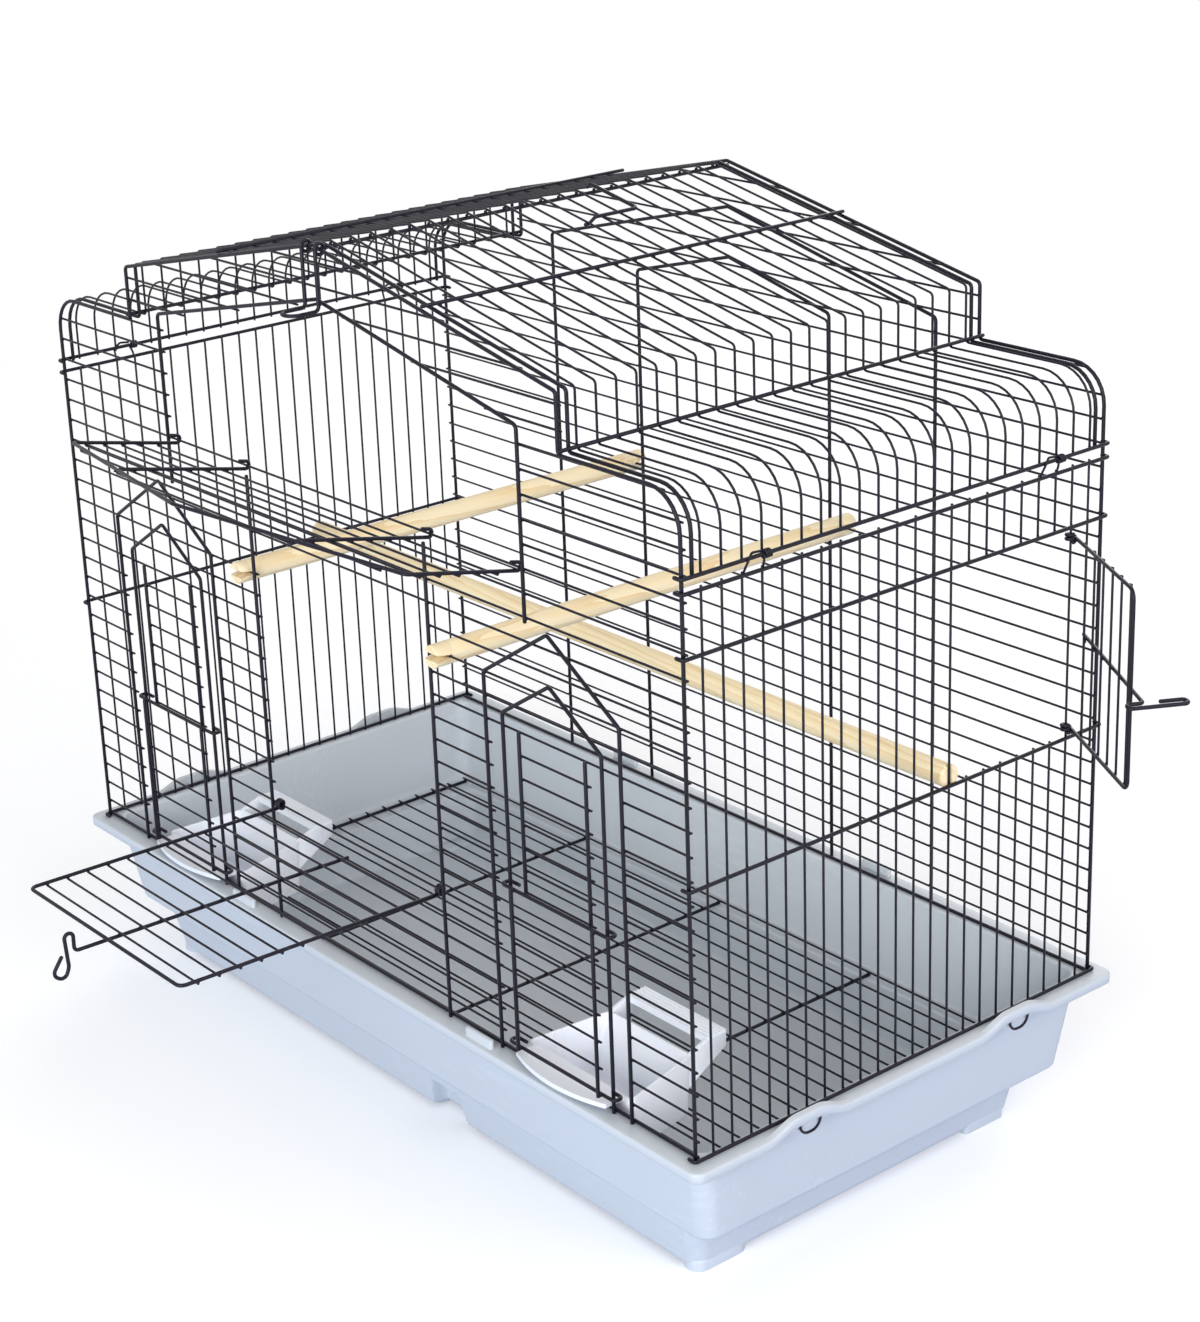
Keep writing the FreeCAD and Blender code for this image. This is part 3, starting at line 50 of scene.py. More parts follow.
Material = bpy.types.Material


class Body(Enum):
    """Moving bodies of the cage, by their names in the frame."""

    CAGE = "cage"
    UPPER_DOOR = "upper_door"
    LOWER_DOOR = "lower_door"
    SIDE_DOOR = "side_door"
    LEFT_SLIDE = "left_slide"
    RIGHT_SLIDE = "right_slide"
    RIDGE_LATCH = "ridge_latch"


class Slot(Enum):
    """Material slots of the record."""

    WIRE = "wire"
    TRAY = "tray"
    CUP = "cup"
    PERCH = "perch"


class Finish(Enum):
    """Finishes of the cage: the name of the material and its slot in the record."""

    PAINT = ("painted_wire", Slot.WIRE)
    TRAY = ("tray_plastic", Slot.TRAY)
    CUP = ("cup_plastic", Slot.CUP)
    PINE_X = ("pine_along_x", Slot.PERCH)
    PINE_Y = ("pine_along_y", Slot.PERCH)


class Axis(Enum):
    """Direction along the cage, across it or upwards."""

    X = 0
    Y = 1
    Z = 2

    @property
    def way(self) -> Array:
        """The direction as a vector of length one."""
        return np.eye(3)[self.value]


@dataclass(frozen=True)
class Stock:
    """Round wire stock, with its radius in millimetres."""

    radius: float
    sides: int


THIN = Stock(0.75, 10)
ROOF_THIN = Stock(0.75, 8)
HEAVY = Stock(1.2, 12)
RING = Stock(0.85, 10)
TIP_STEPS = np.array([0.0, 0.25, 0.75])
TIP_SHARES = np.array([0.55, 0.86, 1.0])
STEEP = 0.9
EYE_STEPS = 20
COIL_STEPS = 18
COIL_RISE = 2.1
BEAD = 1.25
BEAD_SIDES = 8
BEAD_LEVELS = (-68.0, -25.0, 25.0, 68.0)
FLAT_X, FLAT_Y, FLAT_Z = (0.62, 1.0, 1.0), (1.0, 0.62, 1.0), (1.0, 1.0, 0.62)
NEARLY = 1e-6
COARSE_SCALE = 0.17
PATCH_SCALE = 9.0
SCUFF_EDGE = 0.08


@dataclass
class Surface:
    """Points in millimetres with the quads and the many-sided caps that join them."""

    points: Array
    quads: Array
    caps: list[Array] = field(default_factory=list)

    def moved(self, offset: Row) -> "Surface":
        """The same surface somewhere else."""
        return Surface(self.points + np.asarray(offset, float), self.quads, self.caps)

    def repeated(self, offsets: Array) -> "Surface":
        """Copies of the surface at many places.

        Args:
            offsets: One row of three millimetre values for each copy.

        Returns:
            All the copies as one surface.
        """
        shift = np.arange(len(offsets))[:, None, None] * len(self.points)
        points = (self.points[None] + np.asarray(offsets, float)[:, None]).reshape(-1, 3)
        caps = [(cap + shift).reshape(-1, cap.shape[1]) for cap in self.caps]
        return Surface(points, (self.quads + shift).reshape(-1, 4), caps)

    def mirrored(self) -> "Surface":
        """The same surface on the other side of the middle plane, its faces still outwards."""
        caps = [cap[:, ::-1] for cap in self.caps]
        return Surface(self.points * [-1, 1, 1], self.quads[:, ::-1], caps)

    def swung(self, axis: Axis, degrees: float, hinge: Row) -> "Surface":
        """A door made shut about its hinge line, opened and put at its hinge."""
        turn = np.array(Matrix.Rotation(math.radians(degrees), 3, Vector(axis.way)))
        return Surface(self.points @ turn.T, self.quads, self.caps).moved(hinge)


def joined(*parts: Surface) -> Surface:
    """Several surfaces as one.

    Args:
        *parts: Surfaces to put together, which stay separate shells.

    Returns:
        One surface that holds them all.
    """
    starts = np.cumsum([0] + [len(part.points) for part in parts])
    return Surface(
        np.concatenate([part.points for part in parts]),
        np.concatenate([part.quads + start for part, start in zip(parts, starts)]),
        [cap + start for part, start in zip(parts, starts) for cap in part.caps],
    )


def unit(vectors: Array) -> Array:
    """Vectors of length one."""
    return vectors / np.linalg.norm(vectors, axis=-1, keepdims=True)


def around(count: int) -> Array:
    """Even angles of a full turn."""
    return np.linspace(0, 2 * np.pi, count, endpoint=False)


def crossings(xs: Row, ys: Row, zs: Row) -> Array:
    """Every place of a grid of coordinates."""
    return np.stack(np.meshgrid(xs, ys, zs, indexing="ij"), -1).reshape(-1, 3)


def level_ring(plan: Array, height: float | Array) -> Array:
    """Plan line as points at a height."""
    return np.column_stack([plan, np.broadcast_to(height, len(plan))])


def lofted(rings: Sequence[Array], closed: bool = False) -> Surface:
    """Surface through a stack of closed rings.

    Args:
        rings: Points as rings, points of a ring and coordinates.
        closed: Whether the last ring joins the first. Otherwise both are filled.

    Returns:
        The surface, facing outwards where the rings turn left along the stack.
    """
    rings = np.asarray(rings)
    count, size = rings.shape[:2]
    i, j = np.meshgrid(np.arange(count if closed else count - 1), np.arange(size), indexing="ij")
    k, m = (i + 1) % count, (j + 1) % size
    quads = np.stack([i * size + j, i * size + m, k * size + m, k * size + j], -1)
    first = np.arange(size)[None]
    caps = [] if closed else [first[:, ::-1], first + (count - 1) * size]
    return Surface(rings.reshape(-1, 3), quads.reshape(-1, 4), caps)


def bent_path(corners: Sequence[Row], bend: float | Row, steps: int = 5) -> Array:
    """Line through corners, each rounded by an arc tangent to its two stretches.

    An arc point is start + r (sin s * d + (1 - cos s) * n), with d the way in and n square to it.

    Args:
        corners: Corner points of the line.
        bend: Radius of the arcs, one for all or one for each inner corner.
        steps: Stretches in each arc.

    Returns:
        Points of the rounded line.
    """
    corners = np.asarray(corners, float)
    way = unit(np.diff(corners, axis=0))
    come, leave = way[:-1], way[1:]
    cosine = np.clip((come * leave).sum(1), -1, 1)
    turn = np.arccos(cosine)
    aside = unit(leave - cosine[:, None] * come)
    radius = np.broadcast_to(np.asarray(bend, float), turn.shape)
    start = corners[1:-1] - come * (radius * np.tan(turn / 2))[:, None]
    s = (turn[:, None] * np.linspace(0, 1, steps + 1))[..., None]
    arc = np.sin(s) * come[:, None] + (1 - np.cos(s)) * aside[:, None]
    arcs = start[:, None] + radius[:, None, None] * arc
    return np.concatenate([corners[:1], arcs.reshape(-1, 3), corners[-1:]])


def tube(path: Array, stock: Stock, normal: Row) -> Surface:
    """Round wire carried along a line, with softened cut ends.

    A ring point is p + r (cos a * side + sin a * normal), with side square to line and normal.

    Args:
        path: Points of the line.
        stock: Wire that runs along it.
        normal: Direction square to the plane of the line.

    Returns:
        The wire's skin.
    """
    head, tail = unit(path[1] - path[0]), unit(path[-1] - path[-2])
    tips = TIP_STEPS * stock.radius
    lead, trail = path[0] + np.outer(tips, head), path[-1] - np.outer(tips[::-1], tail)
    line = np.concatenate([lead, path[1:-1], trail])
    share = np.concatenate([TIP_SHARES, np.ones(len(path) - 2), TIP_SHARES[::-1]])
    tangent = unit(np.gradient(line, axis=0))
    binormal = np.broadcast_to(unit(np.asarray(normal, float)), tangent.shape)
    side = unit(np.cross(binormal, tangent))
    angle = around(stock.sides)[None, :, None]
    spoke = np.cos(angle) * side[:, None] + np.sin(angle) * binormal[:, None]
    return lofted(line[:, None] + (stock.radius * share)[:, None, None] * spoke)


def flat_wire(line: Sequence[Row], axis: Axis, level: float, bend: float | Row, steps: int = 5,
              stock: Stock = HEAVY) -> Surface:
    """Bent wire in a plane square to an axis.

    Args:
        line: Corners by their two other coordinates.
        axis: Axis the plane is square to.
        level: Place of the plane on it.
        bend: Radius of the bends, one for all or one for each inner corner.
        steps: Stretches in each bend.
        stock: Wire that is bent.

    Returns:
        The wire's skin.
    """
    corners = np.insert(np.asarray(line, float), axis.value, level, axis=1)
    return tube(bent_path(corners, bend, steps), stock, axis.way)


def straight_wires(starts: Array, ends: Array, stock: Stock) -> Surface:
    """Many straight wires at once: circles carried from end to end, smaller at the cut tips.

    Args:
        starts: First end of each wire.
        ends: Second end of each wire, all in the same direction.
        stock: Wire they are cut from.

    Returns:
        All the wires as one surface.
    """
    way = unit(ends - starts)
    spare = np.where(np.abs(way[:, 2:]) > STEEP, Axis.X.way, Axis.Z.way)
    side = unit(np.cross(spare, way))
    angle = around(stock.sides)[:, None]
    spoke = np.cos(angle) * side[:, None] + np.sin(angle) * np.cross(way, side)[:, None]
    tips = stock.radius * TIP_STEPS[:, None] * way[:, None]
    line = np.concatenate([starts[:, None] + tips, ends[:, None] - tips[:, ::-1]], 1)
    radius = np.concatenate([TIP_SHARES, TIP_SHARES[::-1]]) * stock.radius
    rings = line[:, :, None] + radius[:, None, None] * spoke[:, None]
    faces = lofted(rings[0]).repeated(np.zeros((len(rings), 3)))
    return Surface(rings.reshape(-1, 3), faces.quads, faces.caps)


def grid_wires(xs: Row, ys: Row, zs: Row, run: Row, stock: Stock) -> Surface:
    """Straight wires that start at every place of a grid and share one run."""
    starts = crossings(xs, ys, zs)
    return straight_wires(starts, starts + np.asarray(run, float), stock)


def eye(centre: Row, axis: Axis, radius: float, stock: Stock) -> Surface:
    """Closed ring of wire about an axis: a circle carried round a circle.

    Args:
        centre: Middle of the ring.
        axis: Direction of the hole.
        radius: Radius of the ring's centre line.
        stock: Wire it is curled from.

    Returns:
        The ring's skin.
    """
    slanted = [0.37, 0.53, 0.76]
    first = unit(np.cross(axis.way, slanted))
    turn, angle = around(EYE_STEPS)[:, None, None], around(stock.sides)[None, :, None]
    out = np.cos(turn) * first + np.sin(turn) * np.cross(axis.way, first)
    rings = np.asarray(centre, float) + out * (radius + stock.radius * np.cos(angle))
    return lofted(rings - axis.way * stock.radius * np.sin(angle), closed=True)


def coil(centre: Row, axis: Axis, radius: float, stock: Stock, turns: float = 2.1) -> Surface:
    """Wire end curled round a line: a circle carried along a tight screw line.

    Args:
        centre: Middle of the coil.
        axis: Direction of the line it is curled round.
        radius: Radius of the screw line.
        stock: Wire it is curled from.
        turns: Number of turns.

    Returns:
        The coil's skin.
    """
    first = Axis.X.way if axis is Axis.Y else -Axis.Y.way
    turn = np.linspace(0, 2 * np.pi * turns, int(COIL_STEPS * turns))[:, None]
    rise = (turn / (2 * np.pi) - turns / 2) * COIL_RISE * stock.radius
    circle = np.cos(turn) * first + np.sin(turn) * np.cross(axis.way, first)
    return tube(np.asarray(centre, float) + radius * circle + axis.way * rise, stock, axis.way)


def weld_beads(places: Array, shares: Row, across: float = BEAD) -> Surface:
    """Small paint-covered welds where wires cross: squashed balls of a few faces.

    Args:
        places: Middle of each bead.
        shares: Share of the radius in each direction.
        across: Radius of the bead along the wires.

    Returns:
        All the beads as one surface.
    """
    latitude, angle = np.radians(BEAD_LEVELS)[:, None], around(BEAD_SIDES)[None]
    flat = np.cos(latitude)
    ball = [flat * np.cos(angle), flat * np.sin(angle), np.sin(latitude) + 0 * angle]
    return lofted(np.stack(ball, -1) * across * np.asarray(shares)).repeated(places)


def rounded_loop(half_x: float, half_y: float, corner: float, corner_steps: int = 9,
                 along_x: Row = (), along_y: Row = ()) -> Array:
    """Closed plan line of a rounded rectangle that passes fixed places on its sides.

    Args:
        half_x: Half of its length.
        half_y: Half of its width.
        corner: Radius of its corners.
        corner_steps: Points in each corner.
        along_x: Places on the long sides, rising.
        along_y: Places on the short sides, rising.

    Returns:
        Points of the line, turning left, from the near left side.
    """
    turn = np.linspace(0, np.pi / 2, corner_steps)
    arc = np.stack([np.sin(turn), 1 - np.cos(turn)], 1) * corner
    near = np.stack([along_x, np.full(len(along_x), -half_y)], 1)
    right = np.stack([np.full(len(along_y), half_x), along_y], 1)
    low_right = np.array([half_x - corner, -half_y]) + arc
    high_right = np.array([half_x, half_y - corner]) + arc[:, ::-1] * [-1, 1]
    half = np.concatenate([near, low_right, right, high_right])
    return np.concatenate([half, -half])


def soft_step(value: float | Array, low: float, high: float) -> float | Array:
    """Smooth rise from 0 at low to 1 at high."""
    share = np.clip((value - low) / (high - low), 0, 1)
    return share * share * (3 - 2 * share)


def quarter(start: Row, finish: Row, hollow: bool = False, steps: int = 4) -> list[tuple]:
    """Rounded corner of a section, as a quarter of an ellipse between two section points.

    Args:
        start: Inset and height where the corner starts.
        finish: Inset and height where it ends.
        hollow: Whether the corner first goes along the height.
        steps: Stretches in the corner.

    Returns:
        Inset and height of each point, ends included.
    """
    turn = np.linspace(0, np.pi / 2, steps + 1)
    shares = np.stack([np.sin(turn), 1 - np.cos(turn)], 1)
    shares = shares[:, ::-1] if hollow else shares
    return [tuple(row) for row in np.array(start) + np.subtract(finish, start) * shares]


@dataclass(frozen=True)
class Layout:
    """Main lines of the cage in millimetres, shared by its walls, roof and doors."""

    rim: float = 105.0
    half_length: float = 320.0
    half_depth: float = 165.0
    pitch: float = 14.5
    row_first: float = 12.0
    rows: int = 32
    end_wires: int = 22
    stub: float = 2.5
    rail_out: float = 2.636
    foot_rail: float = 1.436
    wall_rail: float = 336.6
    roof_rail: float = 345.0
    rail_hook: float = 6.0
    rail_bend: float = 1.9
    rail_gap: float = 0.05
    shoulder: float = 390.5
    shoulder_bend: float = 23.0
    riser: float = 222.7
    riser_bend: float = 3.0
    eave: float = 425.8
    ridge: float = 472.7
    ridge_bend: float = 4.0
    house_bend: float = 3.5
    upper_row: int = 21
    lower_row: int = 5
    feeder_row: int = 14
    feeder_x: float = 206.0
    feeder_arch: tuple = (120.0, 245.0, 283.0)
    side_hinge: float = 137.75

    @property
    def row_depth(self) -> float:
        """Distance of the wall rows from the middle plane."""
        return self.half_depth - HEAVY.radius - THIN.radius

    @property
    def rail_x(self) -> float:
        """Distance of the end rails from the middle."""
        return self.half_length + self.rail_out

    @property
    def end_x(self) -> float:
        """Distance of the end wires from the middle."""
        return self.rail_x - HEAVY.radius - THIN.radius

    @property
    def slope(self) -> float:
        """Fall of the roof for each millimetre from the ridge."""
        return (self.ridge - self.eave) / self.riser

    @property
    def end_ys(self) -> Array:
        """Places of the end wires and the roof wires across the cage."""
        span = self.pitch * (self.end_wires - 1)
        return np.linspace(-span / 2, span / 2, self.end_wires)

    def row(self, index: float | Array) -> float | Array:
        """Height of a wall row counted from the lowest."""
        return self.rim + self.row_first + self.pitch * index

    def half_width(self, height: float) -> float:
        """Half the gable's width at a height: walls, round shoulders, risers and slopes.

        Args:
            height: Height above the feet.

        Returns:
            Distance from the middle to the outline.
        """
        rise = height - self.rim
        bend = self.shoulder - self.shoulder_bend
        if rise <= bend:
            return self.half_length
        if rise <= self.shoulder:
            reach = math.sqrt(self.shoulder_bend ** 2 - (rise - bend) ** 2)
            return self.half_length - self.shoulder_bend + reach
        if rise <= self.eave:
            return self.riser
        return (self.ridge - rise) / self.slope

    def gable(self, depth: float, foot: float, outset: float = 0.0) -> Array:
        """Line of the gable from one foot over the ridge to the other.

        Args:
            depth: Place of the line across the cage.
            foot: Height of its two ends.
            outset: How far it is moved outwards.

        Returns:
            Points of the line, its bends rounded.
        """
        side, riser, rim = self.half_length + outset, self.riser + outset, self.rim + outset
        right = [(riser, rim + self.eave), (riser, rim + self.shoulder),
                 (side, rim + self.shoulder), (side, foot)]
        left = [(-x, z) for x, z in reversed(right)]
        line = left + [(0.0, rim + self.ridge)] + right
        bends = [self.shoulder_bend + outset, self.riser_bend, self.riser_bend]
        bends = bends + [self.ridge_bend] + bends[::-1]
        return bent_path([(x, depth, z) for x, z in line], bends, 7)


LAYOUT = Layout()


def house(width: float, shoulder: float, peak: float, depth: float, centre: float = 0.0,
          foot: float = 0.0) -> Surface:
    """Heavy wire bent like a house: up one side, over a peak and down the other.

    Args:
        width: Distance between the two sides.
        shoulder: Where the slopes start, above the rim.
        peak: Its top above the rim.
        depth: Place across the cage.
        centre: Place of the peak along the cage.
        foot: Its ends above the rim.

    Returns:
        The bent wire's skin.
    """
    left, right = centre - width / 2, centre + width / 2
    line = [(left, foot), (left, shoulder), (centre, peak), (right, shoulder), (right, foot)]
    return flat_wire([(x, LAYOUT.rim + z) for x, z in line], Axis.Y, depth, LAYOUT.house_bend)


def hooked_rail(side: int, level: float) -> Surface:
    """Heavy rail along one end whose ends hook round the corner uprights.

    Args:
        side: 1 for the right end, -1 for the left.
        level: Height of the rail.

    Returns:
        The rail's skin.
    """
    far = LAYOUT.half_depth + 2 * HEAVY.radius + LAYOUT.rail_gap
    outer, inner = side * LAYOUT.rail_x, side * (LAYOUT.rail_x - LAYOUT.rail_hook)
    line = [(inner, -far), (outer, -far), (outer, far), (inner, far)]
    return flat_wire(line, Axis.Z, level, LAYOUT.rail_bend)


def feed(tree: Tree, node: Node, sockets: dict) -> None:
    """Set a node's inputs or link them.

    Args:
        tree: Tree the node is in.
        node: Node to feed.
        sockets: Input name or number to a value, to an output socket, or to a node whose first
            output is meant.
    """
    for label, value in sockets.items():
        value = value.outputs[0] if isinstance(value, Node) else value
        if isinstance(value, Socket):
            tree.links.new(value, node.inputs[label])
        else:
            node.inputs[label].default_value = value


def add_node(tree: Tree, kind: str, sockets: dict | None = None, **settings: object) -> Node:
    """Node with its settings and the values or links of its inputs.

    Args:
        tree: Tree the node goes into.
        kind: Node type without the ShaderNode prefix.
        sockets: What feeds its inputs.
        **settings: Properties of the node.

    Returns:
        The new node.
    """
    node = tree.nodes.new(f"ShaderNode{kind}")
    for label, value in settings.items():
        setattr(node, label, value)
    feed(tree, node, sockets or {})
    return node


def open_group(name: str, numbers: dict[str, float], output: str) -> tuple[Tree, Sequence[Socket]]:
    """Empty shader group with one vector input, number inputs and one number output.

    Args:
        name: Name of the group.
        numbers: Number inputs with their defaults.
        output: Name of the output.

    Returns:
        The group, and the sockets that give its inputs inside it.
    """
    tree = bpy.data.node_groups.new(name, "ShaderNodeTree")
    tree.interface.new_socket("Vector", in_out="INPUT", socket_type="NodeSocketVector")
    for label, value in numbers.items():
        socket = tree.interface.new_socket(label, in_out="INPUT", socket_type="NodeSocketFloat")
        socket.default_value = value
    tree.interface.new_socket(output, in_out="OUTPUT", socket_type="NodeSocketFloat")
    return tree, tree.nodes.new("NodeGroupInput").outputs


def closed_group(tree: Tree, result: Node) -> Tree:
    """The group with a node's result at its output."""
    feed(tree, tree.nodes.new("NodeGroupOutput"), {0: result})
    return tree


class Effects:
    """Shared surface effects, each built once as a shader group."""

    def __init__(self) -> None:
        """Build the groups that the finishes use."""
        self.peel = self._peel()
        self.mottle = self._mottle()
        self.scuffs = self._scuffs()

    @staticmethod
    def _peel() -> Tree:
        """Fine uneven skin of paint or moulded plastic: two sizes of noise as a height.

        Returns:
            The group.
        """
        numbers = {"Scale": 900.0, "Coarse share": 0.3}
        tree, given = open_group("surface_peel", numbers, "Height")
        spot, scale = given["Vector"], given["Scale"]
        fine = add_node(tree, "TexNoise", {"Vector": spot, "Scale": scale, "Detail": 2.0})
        less = add_node(tree, "Math", {0: scale, 1: COARSE_SCALE}, operation="MULTIPLY")
        coarse = add_node(tree, "TexNoise", {"Vector": spot, "Scale": less, "Detail": 3.0})
        mixed = add_node(tree, "Mix", {0: given["Coarse share"], 2: fine, 3: coarse})
        return closed_group(tree, mixed)

    @staticmethod
    def _mottle() -> Tree:
        """Slow drift of tone over a surface, from a soft noise spread over its whole range.

        Returns:
            The group.
        """
        numbers = {"Scale": 12.0, "Low": 0.3, "High": 0.7}
        tree, given = open_group("tone_mottle", numbers, "Value")
        noise = add_node(tree, "TexNoise", {"Vector": given["Vector"], "Scale": given["Scale"],
                                            "Detail": 5.0, "Roughness": 0.55})
        spread = {"Value": noise, 1: given["Low"], 2: given["High"]}
        return closed_group(tree, add_node(tree, "MapRange", spread))

    @staticmethod
    def _scuffs() -> Tree:
        """Thin handling scuffs: the peaks of a long stretched noise, broken up by a second one.

        Returns:
            The group.
        """
        numbers = {"Scale": 60.0, "Stretch": 9.0, "Threshold": 0.66}
        tree, given = open_group("handling_scuffs", numbers, "Mask")
        spot, stretch, least = given["Vector"], given["Stretch"], given["Threshold"]
        ways = add_node(tree, "CombineXYZ", {0: 1.0, 1: stretch, 2: stretch})
        drawn = add_node(tree, "VectorMath", {0: spot, 1: ways}, operation="MULTIPLY")
        lines = add_node(tree, "TexNoise", {"Vector": drawn, "Scale": given["Scale"],
                                            "Detail": 2.0})
        patches = add_node(tree, "TexNoise", {"Vector": spot, "Scale": PATCH_SCALE,
                                              "Detail": 1.0})
        both = add_node(tree, "Math", {0: lines, 1: patches}, operation="ADD")
        halved = add_node(tree, "Math", {0: both, 1: 0.5}, operation="MULTIPLY")
        most = add_node(tree, "Math", {0: least, 1: SCUFF_EDGE}, operation="ADD")
        return closed_group(tree, add_node(tree, "MapRange", {"Value": halved, 1: least, 2: most}))


def blank_material(name: str, fixed: dict[str, float | tuple]) -> tuple[Material, Node]:
    """Material with one shader whose even values are set on its own sockets.

    Args:
        name: Name of the material.
        fixed: Shader socket to its value.

    Returns:
        The material and its shader.
    """
    material = bpy.data.materials.new(name)
    material.use_nodes = True
    shader = material.node_tree.nodes["Principled BSDF"]
    feed(material.node_tree, shader, fixed)
    return material, shader


def placed(tree: Tree, group: Tree, vector: Node | Socket, values: Row) -> Node:
    """A shared effect in a material, with its coordinates and its own values in order."""
    return add_node(tree, "Group", dict(enumerate((vector, *values))), node_tree=group)


def blended(tree: Tree, share: Node, first: Row | Socket, second: Row) -> Socket:
    """Colour between two tones, by a share that changes over the surface.

    Args:
        tree: Tree of the material.
        share: Node that gives the share of the second tone.
        first: First tone, or the socket that gives it.
        second: Second tone.

    Returns:
        The socket that gives the colour.
    """
    start = first if isinstance(first, Socket) else (*first, 1.0)
    mix = add_node(tree, "Mix", {0: share, 6: start, 7: (*second, 1.0)}, data_type="RGBA")
    return mix.outputs[2]


def bumped(tree: Tree, height: Node, bump: Row) -> Node:
    """Normal tilted by a height, with the bump's strength and its depth in metres."""
    sockets = {"Height": height, "Strength": bump[0], "Distance": bump[1]}
    return add_node(tree, "Bump", sockets)


@dataclass(frozen=True)
class Skin:
    """Paint or moulded plastic: drifting tone and gloss, faint scuffs and a fine skin.

    The effects' values are in the order of their sockets.
    """

    finish: Finish
    deep: tuple
    pale: tuple
    worn: tuple
    specular: float
    rough: tuple
    mottle: tuple
    scuffs: tuple
    peel: tuple
    bump: tuple
    glow: float = 0.0
    glow_depth: float = 0.05

    def material(self, effects: Effects) -> Material:
        """The finish as a material.

        Args:
            effects: Shared surface effects.

        Returns:
            The material.
        """
        material, shader = blank_material(self.finish.value[0], {
            "Specular IOR Level": self.specular, "Subsurface Weight": self.glow,
            "Subsurface Scale": self.glow_depth})
        tree = material.node_tree
        spot = add_node(tree, "TexCoord").outputs["Object"]
        tone = placed(tree, effects.mottle, spot, self.mottle)
        marks = placed(tree, effects.scuffs, spot, self.scuffs)
        texture = placed(tree, effects.peel, spot, self.peel)
        low, high = self.rough
        clean = blended(tree, tone, self.deep, self.pale)
        feed(tree, shader, {
            "Base Color": blended(tree, marks, clean, self.worn),
            "Roughness": add_node(tree, "MapRange", {"Value": tone, 3: low, 4: high}),
            "Normal": bumped(tree, texture, self.bump)})
        return material


@dataclass(frozen=True)
class PineDowel:
    """Planed pine with early and late wood, fine pores and a few small knots."""

    finish: Finish
    along: Axis
    early: tuple = (0.985, 0.86, 0.585)
    late: tuple = (0.83, 0.59, 0.29)
    knot: tuple = (0.36, 0.18, 0.07)
    rough: tuple = (0.62, 0.5)
    bump: tuple = (0.35, 0.0006)
    pores: tuple = (1100.0, 0.5)
    drawn_out: float = 0.07
    tilt: tuple = (0.5, 0.35, 0.4)
    specular: float = 0.3
    ring_scale: float = 88.0
    ring_power: float = 2.2
    streak_scale: float = 620.0
    streak_share: float = 0.35
    knot_scale: float = 46.0
    knot_edge: tuple = (0.13, 0.03)

    def material(self, effects: Effects) -> Material:
        """Timber whose grain runs along the dowel.

        Args:
            effects: Shared surface effects.

        Returns:
            The timber's material.
        """
        fixed = {"Specular IOR Level": self.specular}
        material, shader = blank_material(self.finish.value[0], fixed)
        tree = material.node_tree
        spot = add_node(tree, "TexCoord").outputs["Object"]
        scale = 1.0 - self.along.way * (1.0 - self.drawn_out)
        drawn = add_node(tree, "Mapping", {"Vector": spot, "Scale": tuple(scale),
                                           "Rotation": self.tilt})
        rings = add_node(tree, "TexWave", {
            "Vector": drawn, "Scale": self.ring_scale, "Distortion": 5.5, "Detail": 3.0,
            "Detail Scale": 1.4, "Detail Roughness": 0.55,
        }, wave_type="BANDS", bands_direction="DIAGONAL", wave_profile="SAW")
        streaks = add_node(tree, "TexNoise", {"Vector": drawn, "Scale": self.streak_scale,
                                              "Detail": 4.0})
        soft = add_node(tree, "Math", {0: rings.outputs["Fac"], 1: self.ring_power},
                        operation="POWER")
        grain = add_node(tree, "Mix", {0: self.streak_share, 2: soft, 3: streaks})
        cells = add_node(tree, "TexVoronoi", {"Vector": drawn, "Scale": self.knot_scale,
                                              "Randomness": 1.0})
        outer, inner = self.knot_edge
        knots = add_node(tree, "MapRange", {"Value": cells.outputs["Distance"], 1: outer,
                                            2: inner})
        pores = placed(tree, effects.peel, drawn, self.pores)
        low, high = self.rough
        clear = blended(tree, grain, self.early, self.late)
        feed(tree, shader, {
            "Base Color": blended(tree, knots, clear, self.knot),
            "Roughness": add_node(tree, "MapRange", {"Value": grain, 3: low, 4: high}),
            "Normal": bumped(tree, pores, self.bump)})
        return material


@dataclass
class Maker:
    """Turns surfaces into pieces that ride on the cage's bodies."""

    materials: dict[Finish, Material]

    def piece(self, name: str, surface: Surface, finish: Finish, body: Body = Body.CAGE,
              replaces: Sequence[str] = (), crease: float = 38.0) -> None:
        """One finished piece at the origin, its place in its mesh.

        Args:
            name: Name of the piece.
            surface: Its surface in millimetres.
            finish: Its finish.
            body: Body it rides on.
            replaces: Frame nodes that it stands for.
            crease: Angle in degrees past which an edge stays sharp.
        """
        mesh = bpy.data.meshes.new(name)
        faces = surface.quads.tolist()
        for cap in surface.caps:
            faces.extend(cap.tolist())
        mesh.from_pydata((surface.points * MM).tolist(), [], faces)
        mesh.shade_smooth()
        mesh.set_sharp_from_angle(angle=math.radians(crease))
        mesh.materials.append(self.materials[finish])
        piece = bpy.data.objects.new(name, mesh)
        bpy.context.scene.collection.objects.link(piece)
        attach(piece, body.value)
        if replaces:
            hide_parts(*replaces)
        LOG.info("%s: %d faces on %s", name, len(faces), body.value)

    def wires(self, node: str, surface: Surface, body: Body = Body.CAGE) -> None:
        """Painted wire piece that stands for the frame node of the same name."""
        self.piece(f"{node}_wire", surface, Finish.PAINT, body, [node])

    def welds(self, name: str, surface: Surface) -> None:
        """Painted small piece of the standing cage that is in no frame node."""
        self.piece(name, surface, Finish.PAINT, crease=70.0)


@dataclass
class Assembly:
    """Sub-assembly of the cage, with the maker that dresses its pieces."""

    maker: Maker

    def build(self) -> None:
        """Make and dress the pieces."""
        raise NotImplementedError


